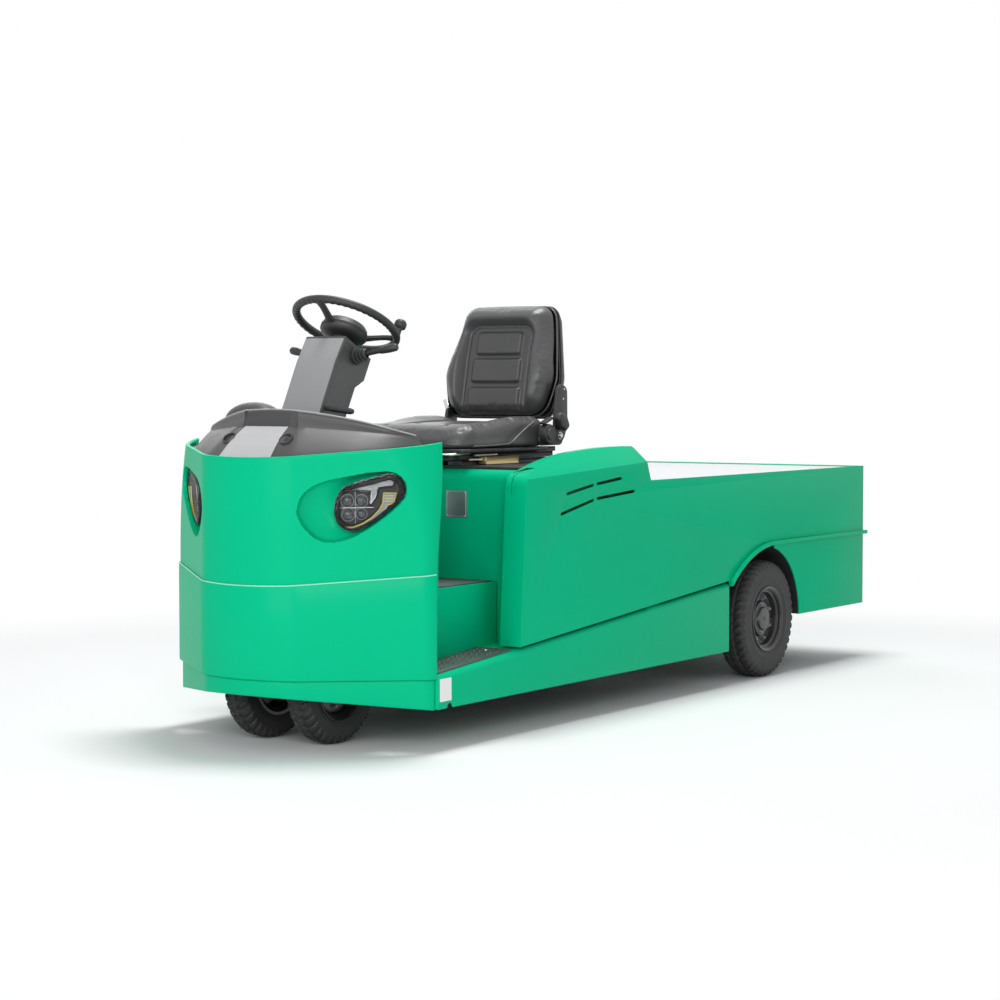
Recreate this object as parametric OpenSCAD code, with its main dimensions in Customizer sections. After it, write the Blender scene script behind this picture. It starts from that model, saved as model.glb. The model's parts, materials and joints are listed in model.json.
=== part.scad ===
/* [Body] */
// Width over the side panels
body_w = 980; // [940:2:1040]
// Length from the nose to the rear panel
body_l = 3200; // [3120:10:3360]
// Height of the load deck's edge above the ground
deck_h = 750; // [735:1:775]
// Thickness of the sheet panels
sheet = 5; // [4:0.5:6]
// Height of the rear skirt's lower edge
skirt_h = 213; // [195:1:235]
// Thickness of the load deck's plate
deck_t = 8; // [6:0.5:10]

/* [Nose] */
// How far the bumper's mid crease lies from the centre line
crease_x = 165; // [140:1:190]
// Slope of the nose from the middle to the mid crease, in degrees
nose_slope = 17; // [14:0.5:18]
// How far the bumper's corner lies behind the nose
corner_s = 290; // [275:1:300]
// How far the bumper's end lies behind the nose
bumper_end = 310; // [304:1:318]
// Thickness of the bumper plate
bumper_t = 14; // [10:0.5:18]
// Height of the bumper's lower edge
bumper_h = 213; // [205:1:225]
// Height of the seam between bumper and cowl at the nose
seam_h = 486; // [476:1:500]
// Rise of the seam towards the rear, in degrees
seam_tilt = 6; // [4:0.25:7]
// Height of the cowl's top edge at the nose
cowl_h = 858; // [845:1:875]
// Rise of the cowl's top edge towards the rear, in degrees
cowl_tilt = 6.9; // [5:0.1:8]
// Thickness of the cowl's wall
cowl_t = 6; // [5:0.5:8]
// Height of the nose skirt's lower edge at the nose
chin_h = 167; // [155:1:175]
// Fall of the nose skirt's lower edge towards the rear, in degrees
chin_tilt = 8.2; // [6:0.1:9]

/* [Sills and steps] */
// Height of the sill's lower edge
sill_h = 125; // [115:1:140]
// Height of the sill's top at its front end
sill_top = 224; // [214:1:234]
// Rise of the sill's top towards the rear, in degrees
sill_tilt = 4.6; // [4:0.1:5]
// Width of the sill from the frame plate outwards
sill_w = 155; // [140:1:170]
// Radius of the sill's outer top edge
sill_r = 20; // [12:1:26]
// Length of a step plate
step_l = 390; // [330:5:400]
// Thickness of a step plate
step_t = 5; // [3:0.5:8]

/* [Driver's place] */
// Height of the floor
floor_h = 455; // [445:1:470]
// Width of the step from the side panel to the floor's edge
step_w = 148; // [140:1:152]
// Distance of the seat box's front from the nose
seat_box_s = 837; // [815:1:860]
// Height of the hood plate under the seat
hood_h = 812; // [804:1:820]
// Tilt of the steering axis from upright, in degrees
column_tilt = 28; // [22:1:34]
// Half the width of the column cover
column_x = 75; // [65:1:85]
// Diameter of the steering wheel
wheel_d = 344; // [320:2:370]
// Thickness of the steering wheel's rim
wheel_rim_d = 26; // [22:1:30]

/* [Side boxes] */
// Width of the box behind each side panel
box_w = 77; // [70:1:90]
// Distance of the side box's foot from the nose
box_s = 742; // [730:1:760]
// Height of the hump's top
hump_h = 864; // [850:1:880]
// Height of the hump's outer crest at its front
crest_h = 777; // [767:1:785]
// Width of the hump's bevel
bevel_x = 45; // [35:1:60]
// Height of the hump's bevel
bevel_z = 52; // [42:1:60]
// Width of an air slot
slot_w = 10; // [7:0.5:13]

/* [Wheels] */
// Distance of the steering axis from the nose
front_s = 285; // [278:1:300]
// Outer diameter of a front tyre
front_d = 360; // [350:1:370]
// Section width of a front tyre
front_w = 86; // [78:1:92]
// Half the distance between the twin front tyres' centres
twin_x = 118; // [114:1:124]
// Distance of the rear axle from the rear panel
rear_over = 783; // [775:1:795]
// Outer diameter of a rear tyre
rear_d = 427; // [420:1:434]
// Section width of a rear tyre
rear_w = 106; // [98:1:108]
// How far a rear tyre's centre lies inside the side panel
wheel_in = 63; // [61:1:70]
// Radius of the wheel arch's rear part
arch_r = 262; // [252:1:268]

/* [Coupling] */
// Height of the tow coupling's jaw above the ground
hitch_h = 340; // [300:1:380]
// How far the tow coupling stands out of the rear panel
hitch_out = 100; // [85:1:120]
// Radius of the coupling's pin hole
hitch_pin_r = 16.5; // [12:0.5:20]
// Clear height of the coupling's jaw
hitch_gap = 64; // [50:1:80]
// Thickness of a coupling ear
hitch_ear_t = 18; // [14:1:24]

/* [Hidden] */
$fn = 48;
eps = 1;
far = 2000;
gap = 0.3;
hw = body_w / 2;
overall_l = body_l + hitch_out;
frame_x = hw - sill_w;
frame_t = 10;
sill_s = bumper_end + 2;
floor_x = hw - step_w;
rear_s = body_l - rear_over;
rear_x = hw - wheel_in;
arch_out = 318;
arch_s = rear_s - arch_out;
arch_lead = 32;
arch_mid_s = rear_s - arch_lead;
arch_mid_z = 215;
flare_lag = 24;
flare_top_s = rear_s + flare_lag;
flare_top_z = 484;
flare_w = 14;
flare_out = 14;
flare_r = 519;
hump_rear_s = 1492;
hump_foot_s = 1539;
box_lean = 37;
hump_rise = [[1290, hump_h], [1000, hump_h - 19], [box_s + box_lean, hump_h - 78]];
hump_r = [3000, 1400, 45];
hood_rear_s = 1600;
panel_gap = 8;
seat_x = 235;
dash_in = 12;
column_s = 480;
column_z = 1180;
rail_z = 330;
green = [0.02, 0.66, 0.47];
black = [0.08, 0.08, 0.085];
grey = [0.24, 0.24, 0.25];
steel = [0.55, 0.56, 0.58];
pale = [0.88, 0.89, 0.9];

// Distances along the length are counted from the nose
module from_nose() translate([0, -overall_l / 2, 0]) children();
module on_side(side) if (side > 0) children(); else mirror([1, 0, 0]) children();
module along_x(x0, x1) translate([x0, 0, 0]) rotate([90, 0, 90]) linear_extrude(x1 - x0) children();
module along_s(s0, s1) translate([0, s1, 0]) rotate([90, 0, 0]) linear_extrude(s1 - s0) children();
module block(x, s, z) translate([x[0], s[0], z[0]]) cube([x[1] - x[0], s[1] - s[0], z[1] - z[0]]);
module rod_x(r, x0, x1) translate([x0, 0, 0]) rotate([0, 90, 0]) cylinder(r = r, h = x1 - x0);
module wheel_at(x, s, z) translate([x, s, z]) rotate([0, 90, 0]) children();

// A convex outline with a true arc at each corner
function unit(v) = v / norm(v);
function half_angle(p, i) = let (n = len(p), a = unit(p[(i + n - 1) % n] - p[i]),
    b = unit(p[(i + 1) % n] - p[i])) acos(a * b) / 2;
function to_side(p, i, step) = let (n = len(p)) unit(p[(i + n + step) % n] - p[i]);
function cut_back(p, r, i, step) = p[i] + to_side(p, i, step) * r / tan(half_angle(p, i));
module rounded(p, r) {
    polygon([for (i = [0 : len(p) - 1], step = [-1, 1]) cut_back(p, r[i], i, step)]);
    for (i = [0 : len(p) - 1])
        if (r[i] > 0) {
            inward = unit(to_side(p, i, -1) + to_side(p, i, 1));
            intersection() {
                translate(p[i] + inward * r[i] / sin(half_angle(p, i))) circle(r[i]);
                polygon([cut_back(p, r[i], i, -1), p[i], cut_back(p, r[i], i, 1), p[i] + inward * r[i]]);
            }
        }
}
function left_of(v) = [-v[1], v[0]];
function inset(p, t) = [for (i = [0 : len(p) - 1])
    let (n = left_of(-to_side(p, i, -1)), m = left_of(to_side(p, i, 1))) p[i] + (n + m) * t / (1 + n * m)];
module rounded_box(x, z, r) rounded([[x[0], z[0]], [x[1], z[0]], [x[1], z[1]], [x[0], z[1]]], [r, r, r, r]);

// The nose seen from above: corners and their radii, left to right round the front
nose_r = 430;
nose_s = nose_r * (1 - 1 / cos(nose_slope));
crease_s = nose_s + crease_x * tan(nose_slope);
crease_r = 150;
corner_r = 70;
plan_rear = 700;
plan = [[hw, plan_rear], [-hw, plan_rear], [-hw, corner_s], [-crease_x, crease_s], [0, nose_s],
    [crease_x, crease_s], [hw, corner_s]];
plan_r = [0, 0, corner_r, crease_r, nose_r, crease_r, corner_r];
module nose_plan(t) rounded(inset(plan, t), [for (r = plan_r) max(r - t, 0)]);
module nose_ring(t0, t1, rear) difference() {
    nose_plan(t0);
    nose_plan(t1);
    translate([-far / 2, rear]) square(far);
}
// The space below a plane across the width that passes the nose at a height and tilts rearwards
module below(z, tilt) translate([0, 0, z]) rotate([tilt, 0, 0])
    translate([-far, -far, -2 * far]) cube([2 * far, 3 * far, 2 * far]);
module above(z, tilt) translate([0, 0, z]) rotate([tilt, 0, 0])
    translate([-far, -far, 0]) cube([2 * far, 3 * far, 2 * far]);

module front_bumper() color(green) from_nose() intersection() {
    translate([0, 0, bumper_h]) linear_extrude(floor_h) nose_ring(0, bumper_t, bumper_end);
    below(seam_h, seam_tilt);
}

skirt_in = 10;
skirt_t = 8;
module front_skirt() color(green) from_nose() intersection() {
    linear_extrude(bumper_h) nose_ring(skirt_in, skirt_in + skirt_t, bumper_end);
    above(chin_h, -chin_tilt);
}

// The lamp's recess lies in the slanting side of the nose: u runs along that side, v is the height
lamp_turn = atan2(corner_s - crease_s, hw - crease_x);
cowl_in = 3;
recess_d = 46;
recess_wall = 5;
recess = [[4, 700], [62, 606], [170, 604], [342, 762], [338, 826], [230, 828], [50, 790]];
recess_r = [50, 60, 62, 22, 22, 70, 70];
lamp = [[100, 690], [150, 632], [192, 634], [338, 762], [334, 820], [262, 818], [128, 776]];
lamp_r = [34, 30, 30, 18, 18, 40, 40];
lamp_t = 24;
module in_facet(d0, d1) translate([crease_x, crease_s, 0]) rotate([0, 0, lamp_turn])
    translate([0, d1, 0]) rotate([90, 0, 0]) linear_extrude(d1 - d0) children();
module recess_outline(t) rounded(inset(recess, t), [for (r = recess_r) r - t]);
module lamp_outline(t) rounded(inset(lamp, t), [for (r = lamp_r) r - t]);
cowl_rear_lean = 6.7;
module front_cowl() color(green) from_nose() intersection() {
    difference() {
        union() {
            translate([0, 0, seam_h]) linear_extrude(far / 4) nose_ring(cowl_in, cowl_in + cowl_t, plan_rear);
            intersection() {
                for (side = [-1, 1])
                    on_side(side) in_facet(-far / 20, recess_d + recess_wall) recess_outline(-recess_wall);
                linear_extrude(far / 2) nose_plan(cowl_in + cowl_t / 2);
            }
        }
        for (side = [-1, 1])
            on_side(side) in_facet(-far / 20, recess_d) recess_outline(0);
    }
    above(seam_h, seam_tilt);
    below(cowl_h, cowl_tilt);
    translate([0, bumper_end, seam_h]) rotate([-cowl_rear_lean, 0, 0])
        translate([-far, -far, -far]) cube([2 * far, far, 2 * far]);
}
module headlamp(side) color(grey) from_nose() on_side(side)
    in_facet(recess_d - lamp_t, recess_d) lamp_outline(0);

// Floor, steps and the inner wall of the footwell
floor_t = 10;
module floor_plate() color(green) from_nose() {
    translate([0, 0, floor_h - floor_t]) linear_extrude(floor_t) difference() {
        nose_plan(bumper_t + gap);
        for (side = [-1, 1])
            translate([side > 0 ? floor_x : -far, bumper_end]) square([far - floor_x, far]);
        translate([-far, bumper_end + eps]) square(2 * far);
    }
    block([-floor_x, floor_x], [bumper_end, seat_box_s], [floor_h - floor_t, floor_h]);
    for (side = [-1, 1])
        on_side(side) difference() {
            block([floor_x - sheet, floor_x], [sill_s, seat_box_s], [sill_top, floor_h]);
            sill_cut();
        }
}
mat_t = 4;
mat_in = 12;
module floor_mat() color(grey) from_nose()
    block([-floor_x + mat_in, floor_x - mat_in], [kick_s + sheet + mat_in, seat_box_s - mat_in],
        [floor_h, floor_h + mat_t]);

// The sill's top is a sloping plane: everything below it
module sill_space(t, r) translate([0, sill_s, sill_top]) rotate([sill_tilt, 0, 0])
    along_s(-far / 4, 2 * far) rounded([[-far, -far / 2], [hw - t, -far / 2], [hw - t, -t], [-far, -t]],
        [0, 0, r, 0]);
module sill_cut() sill_space(0, 0);
module sill(side) color(green) from_nose() on_side(side) difference() {
    intersection() {
        block([frame_x, hw], [sill_s, arch_s - sheet], [sill_h, far / 2]);
        sill_space(0, sill_r);
    }
    intersection() {
        block([frame_x - eps, hw], [sill_s + sheet, arch_s - 2 * sheet], [0, far / 2]);
        sill_space(sheet, sill_r - sheet);
    }
    translate([0, sill_s + notch_s, sill_h]) rod_x(notch_r, hw - 2 * sheet, hw + eps);
}
notch_s = 58;
notch_r = 14;
step_in = 18;
module step_plate(side) color(black) from_nose() on_side(side) intersection() {
    block([floor_x, hw - step_in], [kick_s, kick_s + step_l], [sill_top - far / 4, far / 2]);
    translate([0, sill_s, sill_top]) rotate([sill_tilt, 0, 0])
        translate([0, -far / 4, 0]) cube([far, far, step_t]);
}

// Side panel: a hollow box with a humped top in front, a single sheet beside the load deck
crest_tilt = atan2(34, 716);
hump_front_s = box_s + box_lean;
module hump_space(t) {
    line = bevel_z / bevel_x;
    drop = t * sqrt(1 + line * line);
    translate([0, hump_front_s, crest_h]) rotate([crest_tilt, 0, 0]) along_s(-far / 4, far)
        polygon([[0, -far / 2], [hw + bevel_x, -far / 2], [hw + bevel_x, -bevel_z - drop],
            [hw - 3 * bevel_x, 3 * bevel_z - drop], [0, 3 * bevel_z - drop]]);
}
hump_end_r = 12;
function hump_corners(low) = concat([[box_s, low], [hump_foot_s, low], [hump_foot_s, deck_h],
    [hump_rear_s, hump_h]], hump_rise);
module hump_profile(t, low) rounded(inset(hump_corners(low), t),
    [for (r = concat([0, 0, 0, hump_end_r], hump_r)) max(r - t, 0)]);
module plate_profile() polygon([[box_s, skirt_h], [body_l, skirt_h], [body_l, deck_h], [box_s, deck_h]]);
module arch_outline(t) {
    translate([arch_mid_s, arch_mid_z]) circle(arch_r + t);
    translate([arch_mid_s - arch_r - t, 0]) square([2 * (arch_r + t), arch_mid_z]);
    intersection() {
        translate([flare_top_s, flare_top_z - flare_r]) circle(flare_r + t, $fn = 96);
        translate([arch_s - t, 0]) square([flare_top_s - arch_s + t, far / 2]);
    }
}
// Air slots: start and end, distance from the nose and height
slots = [[[1015, 725], [1172, 747]], [[1197, 750], [1347, 763]],
    [[980, 663], [1172, 699]], [[1197, 703], [1430, 718]]];
module slot(ends) {
    run = ends[1] - ends[0];
    translate(ends[0]) rotate(atan2(run[1], run[0])) {
        translate([0, -slot_w / 2]) square([norm(run), slot_w]);
        for (x = [0, norm(run)])
            translate([x, 0]) circle(slot_w / 2);
    }
}
seam_x = 56;
seam_w = 3;
seam_l = 90;
module post_seam() along_x(hw - seam_x, hw - seam_x + seam_w) difference() {
    hump_profile(-eps, 0);
    hump_profile(seam_w, -far);
    translate([hump_front_s + seam_l, -far]) square(2 * far);
}
module sill_cut_all() translate([0, sill_s, sill_top]) rotate([sill_tilt, 0, 0])
    translate([-far, -far / 4, -far / 2]) cube([2 * far, 2 * far, far / 2]);
module side_panel(side) color(green) from_nose() on_side(side) difference() {
    union() {
        intersection() {
            along_x(hw - box_w, hw) hump_profile(0, skirt_h);
            hump_space(0);
        }
        along_x(hw - sheet, hw) difference() {
            plate_profile();
            square([hump_foot_s - eps, far]);
        }
    }
    intersection() {
        along_x(hw - box_w + sheet, hw - sheet) hump_profile(sheet, 0);
        hump_space(sheet);
    }
    difference() {
        translate([0, 0, panel_gap]) sill_cut_all();
        block([-far, far], [arch_s, far * 2], [-far, far]);
    }
    post_seam();
    along_x(hw - 2 * sheet, hw + eps) arch_outline(0);
    for (ends = slots)
        along_x(hw - 2 * sheet, hw + eps) slot(ends);
}
module rear_panel() color(green) from_nose()
    block([-hw + sheet, hw - sheet], [body_l - sheet, body_l], [skirt_h, deck_h]);

// Flare round the front of the arch and rub rail to the rear
module flare_outline(t0, t1) {
    intersection() {
        difference() {
            translate([flare_top_s, flare_top_z - flare_r]) circle(flare_r + t1, $fn = 96);
            translate([flare_top_s, flare_top_z - flare_r]) circle(flare_r + t0, $fn = 96);
        }
        translate([arch_s, 0]) square([flare_top_s - arch_s, far / 2]);
    }
    translate([flare_top_s, flare_top_z + t0]) square([body_l + flare_out - flare_top_s, t1 - t0]);
}
rail_wrap = 70;
module fender_flare(side) color(green) from_nose() on_side(side) {
    along_x(hw, hw + flare_out) flare_outline(0, flare_w);
    block([hw - rail_wrap, hw + eps], [body_l, body_l + flare_out], [flare_top_z, flare_top_z + flare_w]);
}
module wheel_liner(side) color(black) from_nose() on_side(side) along_x(frame_x + frame_t, hw - sheet)
    difference() {
        arch_outline(sheet);
        arch_outline(0);
        translate([arch_mid_s, 0]) square([far, skirt_h]);
        translate([0, -far]) square([far * 2, far + sill_h]);
    }

// Load deck with a lift-out hatch
hatch_in = [550, 300];
hatch_s = [hood_rear_s + hatch_in[0], body_l - hatch_in[1]];
hatch_x = 330;
hatch_gap = 2;
handle_in = 80;
handle_l = 110;
handle_w = 30;
ledge_w = 20;
ledge_t = 6;
module hatch_block(grow, z)
    block([-hatch_x - grow, hatch_x + grow], [hatch_s[0] - grow, hatch_s[1] + grow], z);
module deck_plate() color(pale) from_nose() {
    low = deck_h - sheet - deck_t;
    difference() {
        block([-hw + sheet + gap, hw - sheet - gap], [hood_rear_s + gap, body_l - sheet - gap],
            [low, low + deck_t]);
        hatch_block(0, [0, far]);
    }
    difference() {
        hatch_block(ledge_w, [low - ledge_t, low]);
        hatch_block(-ledge_w, [0, far]);
    }
}
module deck_hatch() color(pale) from_nose() {
    difference() {
        hatch_block(-hatch_gap, [deck_h - sheet - deck_t, deck_h - sheet]);
        translate([0, hatch_s[0] + handle_in, 0]) linear_extrude(far) {
            square([handle_l - handle_w, handle_w], center = true);
            for (side = [-1, 1])
                translate([side * (handle_l - handle_w) / 2, 0]) circle(handle_w / 2);
        }
    }
}

// Frame: plate girders, floor bridge over the steering head, battery tray, deck posts and axle pads
girder_front = 215;
girder_low = 140;
bridge_t = 8;
bridge_s = [100, 560];
tray_s = [880, 1570];
pad_w = 60;
pad_half = 60;
perch_in = 8;
pad_z = 262;
post_w = 40;
post_in = 100;
post_s = [hood_rear_s + post_in, body_l - post_in];
module chassis_frame() color(black) from_nose() {
    for (side = [-1, 1])
        on_side(side) {
            block([frame_x - frame_t, frame_x], [girder_front, arch_s - sheet],
                [girder_low, floor_h - floor_t]);
            block([frame_x - frame_t, frame_x], [girder_front, body_l - sheet], [rail_z, floor_h - floor_t]);
            block([frame_x - pad_w, frame_x], [rear_s - pad_half, rear_s + pad_half],
                [pad_z, floor_h - floor_t]);
            for (s = post_s)
                block([frame_x - post_w, frame_x], [s, s + post_w], [rail_z, deck_h - sheet - deck_t]);
        }
    for (s = post_s)
        block([-frame_x, frame_x], [s, s + post_w], [rail_z, floor_h - floor_t]);
    block([-frame_x, frame_x], tray_s, [rail_z, rail_z + frame_t]);
    translate([0, 0, floor_h - floor_t - bridge_t]) linear_extrude(bridge_t) intersection() {
        nose_plan(bumper_t + gap);
        translate([-frame_x, bridge_s[0]]) square([2 * frame_x, bridge_s[1] - bridge_s[0]]);
    }
}
battery_gap = 45;
battery_in = 20;
battery_top = hood_h - 40;
battery_x = frame_x - frame_t - battery_gap;
module battery_block() color(black) from_nose()
    block([-battery_x, battery_x], [tray_s[0] + battery_in, tray_s[1] - battery_in],
        [rail_z + frame_t, battery_top]);
axle_r = 42;
stub_r = 22;
stub_x = rear_x - 75;
stub_out = 10;
case_r = 110;
case_half = 78;
flange_r = 80;
motor_gap = 5;
motor_r = 105;
motor_l = 330;
axle_z = rear_d / 2;
module rear_axle() color(grey) from_nose() translate([0, rear_s, 0]) {
    translate([0, 0, axle_z]) rod_x(axle_r, -stub_x, stub_x);
    translate([0, 0, axle_z]) rod_x(stub_r, -rear_x - stub_out, rear_x + stub_out);
    translate([0, -case_half, axle_z]) rotate([-90, 0, 0]) cylinder(r = case_r, h = 2 * case_half);
    translate([0, 0, axle_z]) rotate([-90, 0, 0]) cylinder(r = flange_r, h = case_r + motor_gap);
    for (side = [-1, 1])
        on_side(side) block([frame_x - pad_w + perch_in, frame_x - perch_in],
            [-pad_half + perch_in, pad_half - perch_in], [axle_z, pad_z]);
}
module drive_motor() color(grey) from_nose() translate([0, rear_s + case_r + motor_gap, axle_z])
    rotate([-90, 0, 0]) cylinder(r = motor_r, h = motor_l);

// Seat box, hood plate and its rear wall
kick_s = 335;
hood_t = 10;
edge_r = 36;
shelf_l = 60;
module box_outline(t, low) rounded([[seat_box_s + t, low], [seat_box_s + shelf_l + t, low],
    [seat_box_s + shelf_l + t, hood_h - hood_t - t], [seat_box_s + t, hood_h - hood_t - t]],
    [0, 0, 0, edge_r - t]);
module seat_box() color(green) from_nose() {
    x = hw - box_w;
    along_x(-x, x) difference() {
        box_outline(0, floor_h);
        box_outline(sheet, 0);
    }
    for (side = [-1, 1])
        on_side(side) difference() {
            block([floor_x, x], [seat_box_s, seat_box_s + sheet], [sill_top, hood_h - hood_t - edge_r]);
            sill_cut();
        }
}
module hood_plate() color(black) from_nose() {
    x = hw - box_w - gap;
    block([-x, x], [seat_box_s + edge_r, hood_rear_s], [hood_h - hood_t, hood_h]);
    block([-x, x], [hood_rear_s - sheet, hood_rear_s], [deck_h - sheet - deck_t, hood_h]);
}

// Footwell wall, dash and steering column
kick_in = 20;
module kick_panel() color(black) from_nose() intersection() {
    block([-hw + kick_in, hw - kick_in], [kick_s, kick_s + sheet], [floor_h, far]);
    below(cowl_h - dash_in, cowl_tilt);
}
// The dash rises from the cowl's edge in a sloping ring, then in a steep band to a crowned top
dash_foot = cowl_h - dash_in;
dash_rear = kick_s + sheet;
ring_top = 966;
ring_tilt = -8.5;
dash_top_in = 126;
dash_wall = 8;
crown_r = 1280;
crown_s = 167;
crown_z = 994;
crown_tilt = 4.8;
arc_steps = 6;
function arc_point(p, r, i, k) = let (a = cut_back(p, r, i, -1), b = cut_back(p, r, i, 1),
    mid = p[i] + unit(to_side(p, i, -1) + to_side(p, i, 1)) * r / sin(half_angle(p, i)),
    turn = (90 - half_angle(p, i)) * (2 * k / arc_steps - 1), v = unit((a + b) / 2 - mid))
    mid + r * [v[0] * cos(turn) - v[1] * sin(turn), v[0] * sin(turn) + v[1] * cos(turn)];
loop_end = 4;
function end_in_front(q, i, rear) = i < 2 ? q : [q[0], min(q[1], rear - loop_end)];
function nose_loop(t, rear) = let (q = inset(plan, t), p = [for (i = [0 : 6]) end_in_front(q[i], i, rear)])
    concat([[hw - t, rear], [-hw + t, rear]],
    [for (i = [2 : 6], k = [0 : arc_steps]) arc_point(p, max(plan_r[i] - t, 1), i, k)]);
function lift(loop, z, tilt) = [for (q = loop) [q[0], q[1], z + q[1] * tan(tilt)]];
function skin_points(loops) = [for (loop = loops) each loop];
function skin_faces(rows, n) = [for (row = [0 : rows - 1], i = [0 : n - 1])
    let (next = (row + 1) % rows, j = (i + 1) % n) each
    [[row * n + i, row * n + j, next * n + j], [row * n + i, next * n + j, next * n + i]]];
module skin(loops) polyhedron(skin_points(loops), skin_faces(len(loops), len(loops[0])), convexity = 6);
module dash_lower() color(grey) from_nose() skin([
    lift(nose_loop(dash_in, dash_rear), dash_foot, cowl_tilt),
    lift(nose_loop(dash_top_in, dash_rear), ring_top, ring_tilt),
    lift(nose_loop(dash_top_in + dash_wall, dash_rear - dash_wall), ring_top, ring_tilt),
    lift(nose_loop(dash_in + dash_wall, dash_rear - dash_wall), dash_foot, cowl_tilt)]);
module dash_upper() color(black) from_nose() intersection() {
    translate([0, 0, dash_foot]) linear_extrude(far / 10) difference() {
        nose_plan(dash_top_in + dash_wall / 2);
        translate([-far / 2, dash_rear]) square(far);
    }
    above(ring_top, ring_tilt);
    below_crown();
}
module below_crown() translate([0, crown_s, crown_z]) rotate([-90 - crown_tilt, 0, 0])
    translate([0, crown_r, -far / 2]) cylinder(r = crown_r, h = far, $fn = 180);
column_profile = [[268, 940], [369, 1138], [417, 1214], [544, 1146], [508, 1079], [463, 1058], [401, 940]];
module column_cover() color(grey) from_nose() difference() {
    along_x(-column_x, column_x) polygon(column_profile);
    below_crown();
    block([-far, far], [dash_rear, far], [0, column_foot]);
}
column_foot = 975;
tube_r = 34;
tube_s = 350;
tube_tilt = 6;
module column_tube() color(black) from_nose() difference() {
    translate([0, tube_s, floor_h]) rotate([-tube_tilt, 0, 0])
        translate([0, 0, -tube_r]) cylinder(r = tube_r, h = column_foot - floor_h + 2 * tube_r);
    block([-far, far], [-far, far], [-far, floor_h + mat_t]);
    block([-far, far], [-far, far], [column_foot, far]);
    block([-far, far], [-far, kick_s + sheet], [0, far]);
}
module on_column(h) translate([0, column_s, column_z]) rotate([-column_tilt, 0, 0])
    translate([0, 0, h]) children();
lever_r = 9;
lever_drop = 30;
lever_rise = 12;
boot_r = 26;
boot_l = 46;
boot_in = 8;
module column_lever(side, l) on_column(-lever_drop) on_side(side) difference() {
    translate([column_x, 0, 0]) rotate([0, -lever_rise, 0]) {
        rod_x(lever_r, 0, l);
        translate([-boot_in, 0, 0]) rotate([0, 90, 0]) cylinder(r1 = boot_r, r2 = lever_r + eps, h = boot_l);
    }
    translate([-far + column_x, -far / 2, -far / 2]) cube(far);
}
near_lever_l = 150;
far_lever_l = 110;
module column_levers() color(black) from_nose() {
    column_lever(1, near_lever_l);
    column_lever(-1, far_lever_l);
}
pedal_w = 78;
pedal_x = [-190, 112];
pedal_side = [[0, 130], [34, 130], [58, 70], [48, 20], [58, 16], [74, 74], [46, 165], [0, 165]];
module pedals() color(black) from_nose() for (x = pedal_x)
    translate([0, kick_s + sheet, floor_h + mat_t]) along_x(x, x + pedal_w) polygon(pedal_side);

// Seat
seat_s = 830;
seat_l = 500;
seat_z = [862, 945];
back_tilt = 12;
back_s = 1352;
back_h = 385;
back_z = 962;
back_d = [-40, 12];
shell_d = [12, 84];
rail_x = [120, 160];
rail_in = 50;
rail_l = 540;
rail_s = [seat_s + rail_in, seat_s + rail_in + rail_l];
base_x = 170;
base_in = 20;
pan_t = 14;
module seat_rails() color(black) from_nose() {
    pan_low = seat_z[0] - pan_t;
    block([-base_x, base_x], [rail_s[0] + base_in, rail_s[1] - base_in], [hood_h, hood_h + pan_t]);
    for (side = [-1, 1])
        on_side(side) block(rail_x, rail_s, [hood_h + pan_t, pan_low]);
    block([-bracket_x, bracket_x], [rail_s[0] - base_in, rail_s[1] - base_in], [pan_low, seat_z[0]]);
}
cushion_r = [70, 70, 40, 40];
module seat_cushion() color(black) from_nose() translate([0, 0, seat_z[0]])
    linear_extrude(seat_z[1] - seat_z[0]) rounded([[-seat_x, seat_s], [seat_x, seat_s],
        [seat_x, seat_s + seat_l], [-seat_x, seat_s + seat_l]], cushion_r);
back_outline = [[-215, 0], [215, 0], [232, 130], [165, back_h], [-165, back_h], [-232, 130]];
back_r = [50, 50, 60, 50, 50, 60];
module in_back(d0, d1) translate([0, back_s, back_z]) rotate([-back_tilt, 0, 0]) along_s(d0, d1) children();
module seat_backrest() color(black) from_nose() in_back(back_d[0], back_d[1]) rounded(back_outline, back_r);
bracket_x = seat_x + 1;
bracket_t = 8;
shell_x = bracket_x - gap;
shell_outline = [[-shell_x, 0], [shell_x, 0], [shell_x, 140], [160, back_h - 8], [-160, back_h - 8],
    [-shell_x, 140]];
shell_r = [20, 20, 40, 40, 40, 40];
module seat_shell() color(black) from_nose()
    in_back(shell_d[0], shell_d[1]) rounded(shell_outline, shell_r);
bracket_s = [1232, 1374];
bracket_top = 932;
bracket_z = [seat_z[0] - pan_t, bracket_top];
bracket_r = 18;
arm_at = [1358, 872];
arm_lean = 5;
arm_half = 37;
arm_l = 204;
module bracket_outline() {
    rounded_box(bracket_s, bracket_z, bracket_r);
    translate(arm_at) rotate(-arm_lean) rounded_box([-arm_half, arm_half], [0, arm_l], arm_half - eps);
}
module seat_brackets() color(black) from_nose() for (side = [-1, 1])
    on_side(side) along_x(bracket_x, bracket_x + bracket_t) bracket_outline();

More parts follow.
